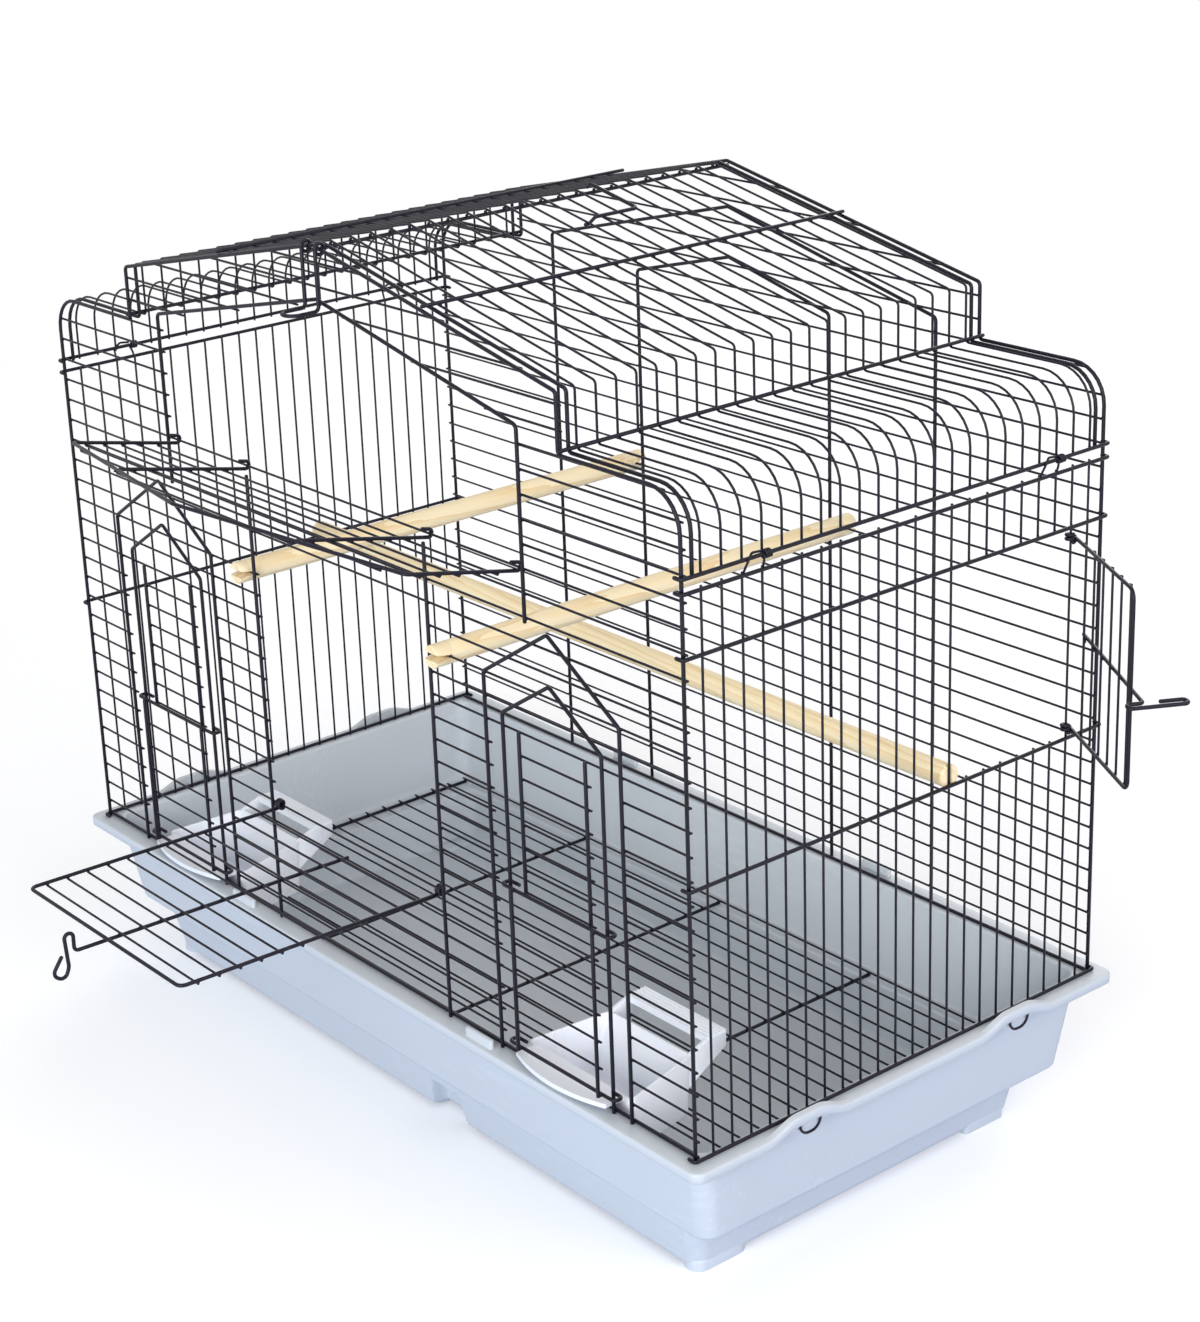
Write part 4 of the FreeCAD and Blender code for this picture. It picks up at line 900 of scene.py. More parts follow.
@dataclass
class Walls(Assembly):
    """Front and back walls, the two ends and their heavy stiffeners."""

    lower_top_row: int = 18
    lower_half: float = 94.0
    lower_gap: float = 5.5
    upper_half: float = 187.0
    upper_foot: float = 285.0
    upper_shoulder: float = 400.0
    upper_peak: float = 440.0
    corner_top: float = 366.0
    past: float = 1.6
    foot_gap: float = 0.6
    side_low: float = 167.1
    side_high: float = 300.5
    side_first: float = 36.25
    side_past: float = 1.4
    side_slack: float = 1.0
    back_houses: tuple = (("outer", 374.0, 398.0, 442.0), ("inner", 188.0, 385.0, 408.0))

    @property
    def lower_top(self) -> float:
        """Height of the uprights beside the lower opening."""
        return LAYOUT.row(LAYOUT.upper_row) - self.lower_gap

    def front_gaps(self, index: int) -> list[tuple[float, float]]:
        """Stretches of a front row that its openings take away.

        Args:
            index: Row counted from the lowest.

        Returns:
            Start and end of each gap along the cage, in order.
        """
        gaps = []
        if LAYOUT.lower_row < index < self.lower_top_row:
            gaps.append((0.0, self.lower_half - LAYOUT.stub))
        if index < LAYOUT.feeder_row:
            half = LAYOUT.feeder_arch[0] / 2 - LAYOUT.stub
            gaps += [(-LAYOUT.feeder_x, half), (LAYOUT.feeder_x, half)]
        if index > LAYOUT.upper_row:
            rise = LAYOUT.row(index) - LAYOUT.rim + LAYOUT.stub
            share = (self.upper_peak - rise) / (self.upper_peak - self.upper_shoulder)
            if share > 0:
                gaps.append((0.0, (self.upper_half - LAYOUT.stub) * min(share, 1.0)))
        return sorted((middle - half, middle + half) for middle, half in gaps)

    def rows(self, depth: float, front: bool) -> Surface:
        """Thin level wires of a long wall, trimmed to the gable and to the openings.

        Args:
            depth: Place of the wires across the cage.
            front: Whether the wall has the front openings.

        Returns:
            All the wires of the wall.
        """
        spans = []
        for index in range(LAYOUT.rows):
            height = LAYOUT.row(index)
            reach = LAYOUT.half_width(height) + self.past
            cuts = [x for gap in self.front_gaps(index) for x in gap] if front else []
            ends = [(x, depth, height) for x in (-reach, *cuts, reach)]
            spans += zip(ends[::2], ends[1::2])
        table = np.array(spans)
        return straight_wires(table[:, 0], table[:, 1], THIN)

    def wall_welds(self, depth: float, front: bool) -> Array:
        """Places where level wires are welded to the heavy uprights of a long wall.

        Args:
            depth: Place of the welds across the cage.
            front: Whether the wall has the front openings.

        Returns:
            One row for each weld.
        """
        uprights = [(LAYOUT.half_length, 0.0, self.corner_top)]
        if front:
            width, shoulder, _ = LAYOUT.feeder_arch
            uprights += [(self.lower_half, 0.0, self.lower_top - LAYOUT.rim),
                         (self.upper_half, self.upper_foot, self.upper_shoulder),
                         (LAYOUT.feeder_x - width / 2, 0.0, shoulder),
                         (LAYOUT.feeder_x + width / 2, 0.0, shoulder)]
        else:
            uprights += [(width / 2, 0.0, shoulder) for _, width, shoulder, _ in self.back_houses]
        levels = LAYOUT.row(np.arange(LAYOUT.rows))
        rises = levels - LAYOUT.rim
        return np.concatenate([crossings([-x, x], [depth], levels[(rises > foot) & (rises < top)])
                               for x, foot, top in uprights])

    def end_wires(self, side: int) -> Surface:
        """Thin uprights of one end, cut at the side opening on the right.

        Args:
            side: 1 for the right end, -1 for the left.

        Returns:
            All the uprights of the end.
        """
        whole = (self.foot_gap, LAYOUT.wall_rail + self.past)
        low, high = self.side_low + self.side_past, self.side_high - self.side_past
        near, far = self.side_first + self.side_slack, LAYOUT.side_hinge - self.side_slack
        spans = []
        for y in LAYOUT.end_ys:
            cut = side > 0 and near < y < far
            rises = (whole[0], low, high, whole[1]) if cut else whole
            ends = [(side * LAYOUT.end_x, y, LAYOUT.rim + rise) for rise in rises]
            spans += zip(ends[::2], ends[1::2])
        table = np.array(spans)
        return straight_wires(table[:, 0], table[:, 1], THIN)

    def build(self) -> None:
        """Make and dress the walls."""
        maker, rim, half = self.maker, LAYOUT.rim, LAYOUT.half_length
        for name, sign in (("front", -1), ("back", 1)):
            front, wall = sign < 0, sign * LAYOUT.half_depth
            maker.wires(f"{name}_outline", tube(LAYOUT.gable(wall, rim), HEAVY, Axis.Y.way))
            maker.wires(f"{name}_rows", self.rows(sign * LAYOUT.row_depth, front))
            inner, level = wall - sign * 2 * HEAVY.radius, rim + LAYOUT.foot_rail
            bar = grid_wires([-half], [inner], [level], (2 * half, 0, 0), HEAVY)
            maker.wires(f"{name}_bottom_bar", bar)
            spots = self.wall_welds(wall - sign * HEAVY.radius, front)
            maker.welds(f"{name}_wall_welds", weld_beads(spots, FLAT_Y))
        for name, side in (("right", 1), ("left", -1)):
            maker.wires(f"{name}_end_wires", self.end_wires(side))
            rises = [LAYOUT.foot_rail, self.side_low, LAYOUT.wall_rail]
            rises[2:2] = [self.side_high] if side > 0 else []
            levels = [rim + rise for rise in rises]
            maker.wires(f"{name}_end_rails", joined(*(hooked_rail(side, z) for z in levels)))
            spots = crossings([side * (LAYOUT.rail_x - HEAVY.radius)], LAYOUT.end_ys, levels)
            maker.welds(f"{name}_end_welds", weld_beads(spots, FLAT_X))
        front = -LAYOUT.half_depth
        maker.wires("upper_opening_frame", house(2 * self.upper_half, self.upper_shoulder,
                                                 self.upper_peak, front, foot=self.upper_foot))
        sides, rise = [-self.lower_half, self.lower_half], (0, 0, self.lower_top - rim)
        maker.wires("lower_opening_uprights", grid_wires(sides, [front], [rim], rise, HEAVY))
        for name, width, shoulder, peak in self.back_houses:
            maker.wires(f"back_{name}_stiffener", house(width, shoulder, peak, LAYOUT.half_depth))


@dataclass
class Roof(Assembly):
    """Roof wires over the gables, their rails, end hoops, the ties and a loose hook."""

    outset: float = 0.636
    past: float = 1.6
    hoop_depth: float = 157.6
    slope_rail: float = 106.6
    lift: float = 2.883
    riser_lift: float = 2.82
    bead: float = 1.2
    bead_shares: tuple = (0.9, 1.0, 0.9)
    bead_drop: float = 1.5
    riser_bead: tuple = (0.7, 0.9)
    tie_y: float = 116.0
    tie_turns: float = 3.2
    tie_bend: float = 2.6
    hook_y: float = 48.0
    hook_fall: float = 45.0
    hook_run: float = 34.0
    hook_lift: float = 2.9
    hook_bends: tuple = (2.0, 3.0, 4.0, 4.0)

    def build(self) -> None:
        """Make and dress the roof."""
        maker, rim, ys = self.maker, LAYOUT.rim, LAYOUT.end_ys
        level = rim + LAYOUT.roof_rail
        foot = level - self.past
        arch = tube(LAYOUT.gable(0.0, foot, self.outset), ROOF_THIN, Axis.Y.way)
        maker.wires("roof_wires", arch.repeated(crossings([0.0], ys, [0.0])))
        hoop = tube(LAYOUT.gable(0.0, foot), HEAVY, Axis.Y.way)
        hoops = hoop.repeated(crossings([0.0], [-self.hoop_depth, self.hoop_depth], [0.0]))
        maker.wires("roof_hoops", hoops)
        maker.wires("roof_side_rails", joined(hooked_rail(1, level), hooked_rail(-1, level)))
        reach, slope_x = LAYOUT.half_depth + HEAVY.radius, self.slope_rail
        riser, riser_z = LAYOUT.riser + LAYOUT.rail_out, rim + LAYOUT.shoulder + self.riser_lift
        slope_z = rim + LAYOUT.ridge - LAYOUT.slope * slope_x + self.lift
        ridge_z = rim + LAYOUT.ridge - self.lift
        for node, xs, z in (("roof_riser_rails", (-riser, riser), riser_z),
                            ("roof_slope_rails", (-slope_x, slope_x), slope_z),
                            ("ridge_rail", (0.0,), ridge_z)):
            maker.wires(node, grid_wires(xs, [-reach], [z], (0, 2 * reach, 0), HEAVY))
        side_x, drop = LAYOUT.rail_x - HEAVY.radius, self.bead_drop
        slope_x -= drop * math.sin(math.atan(LAYOUT.slope))
        riser -= self.riser_bead[0]
        spots = np.concatenate([crossings(xs, ys, [z]) for xs, z in (
            ((-side_x, side_x), level), ((-riser, riser), riser_z - self.riser_bead[1]),
            ((slope_x, -slope_x), slope_z - drop), ((0.0,), ridge_z + drop))])
        maker.welds("roof_welds", weld_beads(spots, self.bead_shares, self.bead))
        maker.wires("roof_clips", self.ties())
        maker.welds("roof_hook", self.hook())

    def ties(self) -> Surface:
        """Thin wire ties: two legs off each end rail, led over the roof rail and wound round it.

        Returns:
            The four ties.
        """
        half, clear = LAYOUT.pitch / 2, HEAVY.radius + THIN.radius
        low, level = LAYOUT.rim + LAYOUT.wall_rail - 1.0, LAYOUT.rim + LAYOUT.roof_rail
        over = [(-clear, -half, low), (clear, 0.8 - half, level - 0.8),
                (0.5, 5.0 - half, level + clear + 1.0), (0.0, half - 2.5, level + clear + 0.2)]
        beside = [(-clear, half, low), (0.0, half - 0.4, level - 4.6),
                  (clear, half - 2.0, level + 0.4)]
        legs = [tube(bent_path(leg, self.tie_bend, 6), THIN, Axis.X.way) for leg in (over, beside)]
        winding = coil((0.0, half + 1.2, level), Axis.Y, clear, THIN, self.tie_turns)
        places = crossings([LAYOUT.rail_x], [-self.tie_y, self.tie_y], [0.0])
        right = joined(*legs, winding).repeated(places)
        return joined(right, right.mirrored())

    def hook(self) -> Surface:
        """Loose wire hook that hangs over the ridge and lies along the right slope.

        Returns:
            The hook's skin.
        """
        y, fall, end = self.hook_y, self.hook_fall, self.hook_y - self.hook_run
        line = [(-3.0, y, -3.0), (0.0, y, 0.0), (fall, y, 0.0), (fall, end, 0.0),
                (fall, end - 5.0, -3.2), (fall, end - 9.0, -3.6)]
        path = bent_path(line, self.hook_bends, 6)
        lie = LAYOUT.rim + LAYOUT.ridge + self.hook_lift
        path[:, 2] += lie - LAYOUT.slope * np.maximum(path[:, 0], 0)
        return tube(path, HEAVY, (LAYOUT.slope, 0.0, 1.0))


@dataclass
class Feeders(Assembly):
    """Arches, guides, fixed grids and sliding doors at both feeding places."""

    guide: tuple = (88.0, 224.0, 252.0)
    grid_half: float = 29.5
    grid_row: int = 7
    grid_past: float = 1.0
    bars: tuple = (11.0, 115.0)
    bar_bend: float = 2.9
    front: float = 168.086
    back: float = 161.914
    hook: float = 4.6
    hook_return: float = 5.0
    side_inset: float = 7.0
    side_past: float = 1.4
    side_depth: float = 170.671
    row_depth: float = 168.721
    slide_rows: int = 5
    bead: float = 1.6
    bead_shares: tuple = (1.0, 0.6, 1.0)
    bead_in: float = 1.25

    def grid(self) -> Surface:
        """Fixed posts and level wires above the sliding door.

        Returns:
            The right feeding place's grid.
        """
        low = LAYOUT.row(self.grid_row) - self.grid_past
        top = LAYOUT.row(LAYOUT.feeder_row) + self.grid_past
        posts = [LAYOUT.feeder_x - self.grid_half, LAYOUT.feeder_x + self.grid_half]
        wall, reach = -LAYOUT.half_depth, self.grid_half + LAYOUT.stub
        left, run = LAYOUT.feeder_x - reach, (2 * reach, 0, 0)
        levels = LAYOUT.row(np.arange(self.grid_row, LAYOUT.feeder_row))
        return joined(
            grid_wires(posts, [wall], [low], (0, 0, top - low), HEAVY),
            grid_wires([left], [-LAYOUT.row_depth], levels, run, THIN),
            weld_beads(crossings(posts, [wall + HEAVY.radius], levels), FLAT_Y),
        )

    def slide(self) -> dict[str, Surface]:
        """Sliding door: two bars hooked round the guide, side wires and rows.

        Returns:
            Last words of each frame node, with the right door's surface.
        """
        left, right = LAYOUT.feeder_x - self.guide[0] / 2, LAYOUT.feeder_x + self.guide[0] / 2
        line = [(left + self.hook_return, -self.back), (left - self.hook, -self.back),
                (left - self.hook, -self.front), (right + self.hook, -self.front),
                (right + self.hook, -self.back), (right - self.hook_return, -self.back)]
        low, high = (LAYOUT.rim + rise for rise in self.bars)
        bars = [flat_wire(line, Axis.Z, z, self.bar_bend, 7) for z in (low, high)]
        sides = [left + self.side_inset, right - self.side_inset]
        levels = np.linspace(low, high, self.slide_rows + 2)[1:-1]
        start, run = sides[0] - LAYOUT.stub, (sides[1] - sides[0] + 2 * LAYOUT.stub, 0, 0)
        rise = high - low + 2 * self.side_past
        depth, inner = -self.side_depth, HEAVY.radius - self.side_depth
        ends = crossings(sides, [depth + self.bead_in], [low, high])
        return {
            "slide_bars": joined(*bars),
            "slide_sides": grid_wires(sides, [depth], [low - self.side_past], (0, 0, rise), HEAVY),
            "slide_rows": joined(
                grid_wires([start], [-self.row_depth], levels, run, THIN),
                weld_beads(crossings(sides, [inner], levels), FLAT_Y),
                weld_beads(ends, self.bead_shares, self.bead)),
        }

    def build(self) -> None:
        """Make and dress both feeding places."""
        front, centre = -LAYOUT.half_depth, LAYOUT.feeder_x
        fixed = {"feeder_arch": house(*LAYOUT.feeder_arch, front, centre),
                 "feeder_guide": house(*self.guide, front, centre), "feeder_grid": self.grid()}
        for node, surface in fixed.items():
            self.maker.wires(f"right_{node}", surface)
            self.maker.wires(f"left_{node}", surface.mirrored())
        for node, surface in self.slide().items():
            self.maker.wires(f"right_{node}", surface, Body.RIGHT_SLIDE)
            self.maker.wires(f"left_{node}", surface.mirrored(), Body.LEFT_SLIDE)


@dataclass
class Doors(Assembly):
    """The two front doors, the side door and the latch at the ridge."""

    eye_radius: float = 2.466
    row_layer: float = 4.416
    row_past: float = 0.8
    catch_layer: float = 6.366
    upper_half: float = 180.0
    upper_side: float = 77.4
    upper_peak: float = 113.5
    upper_bar: float = 97.0
    upper_bar_gap: float = 1.6
    upper_pitch: float = 13.5
    upper_rows: int = 7
    upper_row_past: float = 0.7
    upper_open: float = 77.5
    hook_lead: float = 2.0
    hook_back: float = 5.6
    hook_bend: float = 0.98
    lower_half: float = 88.0
    lower_length: float = 186.0
    lower_bend: float = 4.5
    lower_rows: int = 12
    lower_open: float = 88.8
    catch_foot: float = 7.0
    catch_run: float = 19.0
    catch_hump: float = 12.4
    catch_pull: float = 16.5
    catch_bends: tuple = (3.0, 2.9, 2.9, 8.0, 3.6, 4.0)
    side_width: float = 96.0
    side_low: float = 172.9
    side_high: float = 293.5
    side_bend: float = 6.0
    side_wires: int = 6
    side_open: float = 60.0
    latch_foot: float = 8.0
    latch_past: float = 10.0
    latch_turn: float = 5.5
    latch_hook: float = 10.4
    latch_pull: float = 24.6
    latch_lean: float = 0.055
    latch_bends: tuple = (2.6, 2.6, 2.6, 2.7, 2.7)
    loop_drop: float = 36.7
    loop_reach: float = 20.0
    loop_half: float = 7.0
    loop_hole: float = 2.07
    loop_bend: float = 6.9
    leg_bend: float = 3.0
    leg_past: float = 1.2

    def hinge_hook(self, x: float) -> Surface:
        """Wire end turned back round the row that the upper door hangs on.

        Args:
            x: Its place along the door.

        Returns:
            The hook's skin.
        """
        r = self.eye_radius
        line = [(-r, self.hook_lead), (-r, -r), (r, -r), (r, self.hook_back)]
        return flat_wire(line, Axis.X, x, self.hook_bend * r, 8)

    def hung(self, body: Body, axis: Axis, degrees: float, hinge: Row, **parts: Surface) -> None:
        """Swing a shut door's parts open about its hinge, and dress them under the door's name."""
        for part, surface in parts.items():
            self.maker.wires(f"{body.value}_{part}", surface.swung(axis, degrees, hinge), body)

    def upper(self) -> None:
        """House-shaped door on four turned-back hooks, opened outwards and down."""
        half, side, peak, bar = self.upper_half, self.upper_side, self.upper_peak, self.upper_bar
        y, weld_y = -self.eye_radius, THIN.radius - self.row_layer
        line = [(-half, 0.0), (-half, side), (0.0, peak), (half, side), (half, 0.0)]
        edge = flat_wire(line, Axis.Y, y, LAYOUT.house_bend)
        fall = (peak - side) / half
        top = peak - fall * bar - self.upper_bar_gap
        bars = grid_wires([-bar, bar], [y], [0.0], (0, 0, top), HEAVY)
        levels = self.upper_pitch * np.arange(1, self.upper_rows + 1)
        width = np.where(levels < side, half, (peak - levels) / fall)
        flat = np.zeros(len(levels))
        starts = np.stack([-width - self.upper_row_past, flat - self.row_layer, levels], 1)
        rows = straight_wires(starts, starts * [-1, 1, 1], THIN)
        edges = [np.stack([x, flat + weld_y, levels], 1) for x in (-width, width)]
        spots = np.concatenate([*edges, crossings([-bar, bar], [weld_y], levels)])
        hinge = (0.0, -LAYOUT.row_depth, LAYOUT.row(LAYOUT.upper_row))
        self.hung(Body.UPPER_DOOR, Axis.X, self.upper_open, hinge,
                  frame=joined(edge, *(self.hinge_hook(x) for x in (-half, half))),
                  bars=joined(bars, *(self.hinge_hook(x) for x in (-bar, bar))),
                  rows=joined(rows, weld_beads(spots, FLAT_Y)))

    def lower(self) -> None:
        """Tall door on two eyes, opened outwards and down, with a curled catch wire."""
        half, length, layer = self.lower_half, self.lower_length, -self.row_layer
        line = [(-half, 0.0), (-half, length), (half, length), (half, 0.0)]
        edge = flat_wire(line, Axis.Y, -self.eye_radius, self.lower_bend, 7)
        rings = [coil((x, 0.0, 0.0), Axis.X, self.eye_radius, HEAVY) for x in (-half, half)]
        levels = LAYOUT.pitch * np.arange(1, self.lower_rows + 1)
        reach = half + self.row_past
        rows = grid_wires([-reach], [layer], levels, (2 * reach, 0, 0), THIN)
        spots = np.concatenate([crossings([-half, half], [layer + THIN.radius], levels),
                                crossings([0.0], [layer - THIN.radius], levels)])
        layer, tip = -self.catch_layer, length + self.catch_run
        hump, outer = layer + self.catch_hump, layer - self.catch_pull
        curl = [(layer, self.catch_foot), (layer, tip), (hump, tip), (hump, tip + 6.2),
                (outer + 7.5, tip + 4.4), (outer, tip + 7.5), (outer + 5.0, tip + 16.0),
                (outer + 16.0, tip + 8.4)]
        hinge = (0.0, -LAYOUT.row_depth, LAYOUT.row(LAYOUT.lower_row))
        self.hung(Body.LOWER_DOOR, Axis.X, self.lower_open, hinge,
                  frame=joined(edge, *rings), rows=joined(rows, weld_beads(spots, FLAT_Y)),
                  catch=flat_wire(curl, Axis.X, 0.0, self.catch_bends, 8))

    def side(self) -> None:
        """Side door on two eyes round an end wire, with its latch wire and finger loop."""
        low, high, edge, layer = self.side_low, self.side_high, -self.side_width, self.row_layer
        middle = (low + high) / 2
        line = [(0.0, low), (edge, low), (edge, high), (0.0, high)]
        border = flat_wire(line, Axis.X, self.eye_radius, self.side_bend, 8)
        rings = [coil((0.0, 0.0, z), Axis.Z, self.eye_radius, HEAVY) for z in (low, high)]
        ys = -LAYOUT.pitch * np.arange(1, self.side_wires + 1)
        run = (0, 0, high - low + 2 * self.row_past)
        wires = grid_wires([layer], ys, [low - self.row_past], run, THIN)
        spots = np.concatenate([crossings([layer - THIN.radius], ys, [low, high]),
                                crossings([layer + THIN.radius], ys, [middle])])
        layer, tip = self.catch_layer, edge - self.latch_past
        hook, pull = layer - self.latch_hook, layer + self.latch_pull
        turned = tip - self.latch_turn
        line = [(layer, -self.latch_foot), (layer, tip), (hook, tip), (hook, turned),
                (pull, turned), (pull, tip + 0.2), (layer + 9.0, tip + 0.2)]
        latch = flat_wire(line, Axis.Z, middle, self.latch_bends, 8)
        latch.points[:, 2] += self.latch_lean * (latch.points[:, 1] - edge / 2)
        hinge = (LAYOUT.end_x, LAYOUT.side_hinge, LAYOUT.rim)
        self.hung(Body.SIDE_DOOR, Axis.Z, self.side_open, hinge, frame=joined(border, *rings),
                  wires=joined(wires, weld_beads(spots, FLAT_X)), latch=latch)

    def ridge_latch(self) -> None:
        """Latch loop that hangs by two eyes from the front outline beside the ridge."""
        half, leg = self.loop_half, -self.loop_hole - HEAVY.radius
        foot, tip, elbow = -self.loop_drop, leg - self.loop_reach, leg - self.loop_reach / 2
        parts = []
        for x in (-half, half):
            line = [(leg, 0.0), (leg, foot), (elbow, foot)]
            parts += [flat_wire(line, Axis.X, x, self.leg_bend, 6),
                      eye((x, 0.0, 0.0), Axis.X, -leg, HEAVY)]
        start = elbow + self.leg_past
        loop = [(-half, start), (-half, tip), (half, tip), (half, start)]
        parts.append(flat_wire(loop, Axis.Z, foot, self.loop_bend, 9))
        place = (0.0, -LAYOUT.half_depth, LAYOUT.rim + LAYOUT.ridge - LAYOUT.slope * half)
        self.maker.wires("ridge_latch", joined(*parts).moved(place), Body.RIDGE_LATCH)

    def build(self) -> None:
        """Make and dress the doors and the latch."""
        self.upper()
        self.lower()
        self.side()
        self.ridge_latch()


@dataclass
class Grille(Assembly):
    """Loose floor grille of long thin wires on a few heavy ones."""

    half_length: float = 303.0
    half_depth: float = 145.0
    wires: int = 19
    wire_inset: float = 1.0
    crosses: int = 5
    cross_inset: float = 3.0
    cross_z: float = 43.65
    wire_z: float = 45.6

    def build(self) -> None:
        """Make and dress the grille."""
        length, depth = self.half_length, self.half_depth
        ys = np.linspace(self.wire_inset - depth, depth - self.wire_inset, self.wires)
        xs = np.linspace(self.cross_inset - length, length - self.cross_inset, self.crosses)
        long_wires = grid_wires([-length], ys, [self.wire_z], (2 * length, 0, 0), THIN)
        cross_wires = grid_wires(xs, [-depth], [self.cross_z], (0, 2 * depth, 0), HEAVY)
        self.maker.wires("grille_long_wires", long_wires)
        self.maker.wires("grille_cross_wires", cross_wires)
        spots = crossings(xs, ys, [self.cross_z + HEAVY.radius])
        self.maker.welds("grille_welds", weld_beads(spots, FLAT_Z))


@dataclass(frozen=True)
class Level:
    """One closed line of the tray's skin, before its humps and its recess."""

    half_x: float
    half_y: float
    corner: float
    height: float
    inside: bool
    hump: bool


@dataclass
class Tray(Assembly):
    """Moulded tray with a lipped rim, humps, tabs, a stepped basin, a finger recess and feet.

    A tab is given by its half sizes and corner. A foot is given by its place across the tray, its
    half width and its corner.
    """

    lip: float = 98.5
    rim_half: tuple = (333.0, 176.0)
    rim_corner: float = 7.5
    basin_half: tuple = (319.5, 161.5)
    basin_foot: tuple = (312.5, 152.2)
    basin_corner: float = 12.0
    block_half: tuple = (291.0, 143.0)
    block_foot: tuple = (285.5, 136.5)
    block_corner: float = 11.0
    well_corner: float = 9.0
    wall: float = 2.4
    inner_bend: float = 5.0
    outer_bend: float = 4.0
    edge_bend: float = 2.0
    rim_under: float = 2.4
    rim_bend: float = 2.5
    ledge: float = 40.0
    foot: float = 3.0
    hump_y: float = 88.0
    hump_rise: float = 6.4
    hump_flanks: tuple = (8.0, 33.0)
    recess_x: float = 47.0
    recess_top: float = 24.5
    recess_depth: float = 10.0
    recess_half: float = 18.0
    recess_taper: float = 5.0
    recess_flanks: tuple = (-1.6, 1.0)
    recess_edge: float = 1.5
    tab_place: tuple = (131.0, 170.75)
    tab: tuple = (13.0, 1.75, 1.7)
    tab_rise: float = 6.0
    tab_root: float = 1.2
    foot_x: float = 277.0
    foot_half: float = 8.5
    feet: tuple = ((-114.5, 21.0, 8.0), (111.0, 17.5, 3.0))
    feet_top: float = 4.8
    middle_foot: tuple = (30.0, 12.0, 3.0)
    middle_top: float = 1.0
    clip_width: float = 16.0
    clip_root: float = 1.2
    clip_drop: float = 6.6
    clip_x: float = 332.0
    clip_bend: float = 0.85

    def section(self) -> list[Level]:
        """Section of the tray from its inner floor over the rim to its underside.

        Returns:
            The levels in that order.
        """
        levels: list[Level] = []

        def add(half: Row, corner: float, bends: Sequence[Row], inside: bool = False,
                hump: bool = False) -> None:
            """Levels of one bend, each by its inset from a half size and its height."""
            levels.extend(Level(half[0] - inset, half[1] - inset, max(corner - inset, 1.0), height,
                                inside, hump) for inset, height in bends)

        def climb(start: Row, finish: Row, corner: float, heights: Row, shares: Array,
                  inside: bool = False) -> None:
            """Levels of a plain wall, each by its share of the way between two half sizes.

            Args:
                start: Half sizes where the wall starts.
                finish: Half sizes where it ends.
                corner: Radius of its plan corners.
                heights: Heights of both ends.
                shares: Share of the way of each level.
                inside: Whether it is a wall of the inner side.
            """
            for share in shares:
                add(np.add(start, np.subtract(finish, start) * share), corner,
                    [(0.0, heights[0] + (heights[1] - heights[0]) * share)], inside)

        wall, ledge, lip, rim = self.wall, self.ledge, self.lip, LAYOUT.rim
        inner, outer, edge = self.inner_bend, self.outer_bend, self.edge_bend
        floor, shelf, under = self.foot + wall, ledge + wall, rim - self.rim_under
        well_foot, well_top, low, top = (np.subtract(half, wall) for half in (
            self.block_foot, self.block_half, self.basin_foot, self.basin_half))
        well, block, basin = self.well_corner, self.block_corner, self.basin_corner
        add(well_foot, well, quarter((inner, floor), (0.0, floor + inner)), True)
        climb(well_foot, well_top, well, (floor + inner, shelf - edge),
              np.linspace(0.15, 0.9, 8), True)
        add(well_top, well, quarter((0.0, shelf - edge), (-edge, shelf), True), True)
        add(low, basin, quarter((inner, shelf), (0.0, shelf + inner)), True)
        add(top, block, quarter((0.3, rim - self.rim_bend), (-edge, rim), True), True)
        add(self.rim_half, self.rim_corner, [(5.6, rim), (5.2, rim)], True)
        add(self.rim_half, self.rim_corner, [
            (4.8, rim), (4.4, rim), (1.1, rim), (0.3, rim - 0.35), (0.0, rim - 1.2),
            (0.0, rim - 2.6), (0.1, lip + 0.5), (0.6, lip), (1.8, lip), (2.3, lip + 0.5)],
            hump=True)
        add(self.rim_half, self.rim_corner, [(2.4, rim - 3.4), (3.2, under)])
        add(self.basin_half, basin, quarter((-self.rim_bend, under), (0.0, under - self.rim_bend)))
        add(self.basin_foot, basin, quarter((-0.2, ledge + outer), (outer, ledge), True))
        add(self.block_half, block, quarter((-edge, ledge), (0.0, ledge - edge)))
        heel = self.foot + outer
        climb(self.block_half, self.block_foot, block, (ledge - edge, heel),
              np.linspace(0.08, 0.94, 16))
        add(self.block_foot, block, quarter((0.0, heel), (outer, self.foot), True))
        return levels

    def pushed_in(self, plan: Array, level: Level) -> Array:
        """How far the finger recess takes the points of a level: smooth steps across and upwards.

        Args:
            plan: Points of the level.
            level: Where they are.

        Returns:
            The way back of each point.
        """
        extra = self.wall if level.inside else 0.0
        top = self.recess_top + extra
        share = np.clip((level.height - self.foot) / (self.recess_top - self.foot), 0, 1)
        lean = self.recess_half - self.recess_taper * share + extra
        near, far = (lean + flank for flank in self.recess_flanks)
        push = 1 - soft_step(np.abs(plan[:, 0] - self.recess_x), near, far)
        push = push * (1 - soft_step(level.height, top - self.recess_edge, top + self.recess_edge))
        return np.where(plan[:, 1] < -level.half_y + NEARLY, push * self.recess_depth, 0.0)

    def shell(self) -> Surface:
        """Tray wall as one skin: the section carried round a rounded plan, lifted at the humps.

        Returns:
            The skin, with the finger recess pushed in.
        """
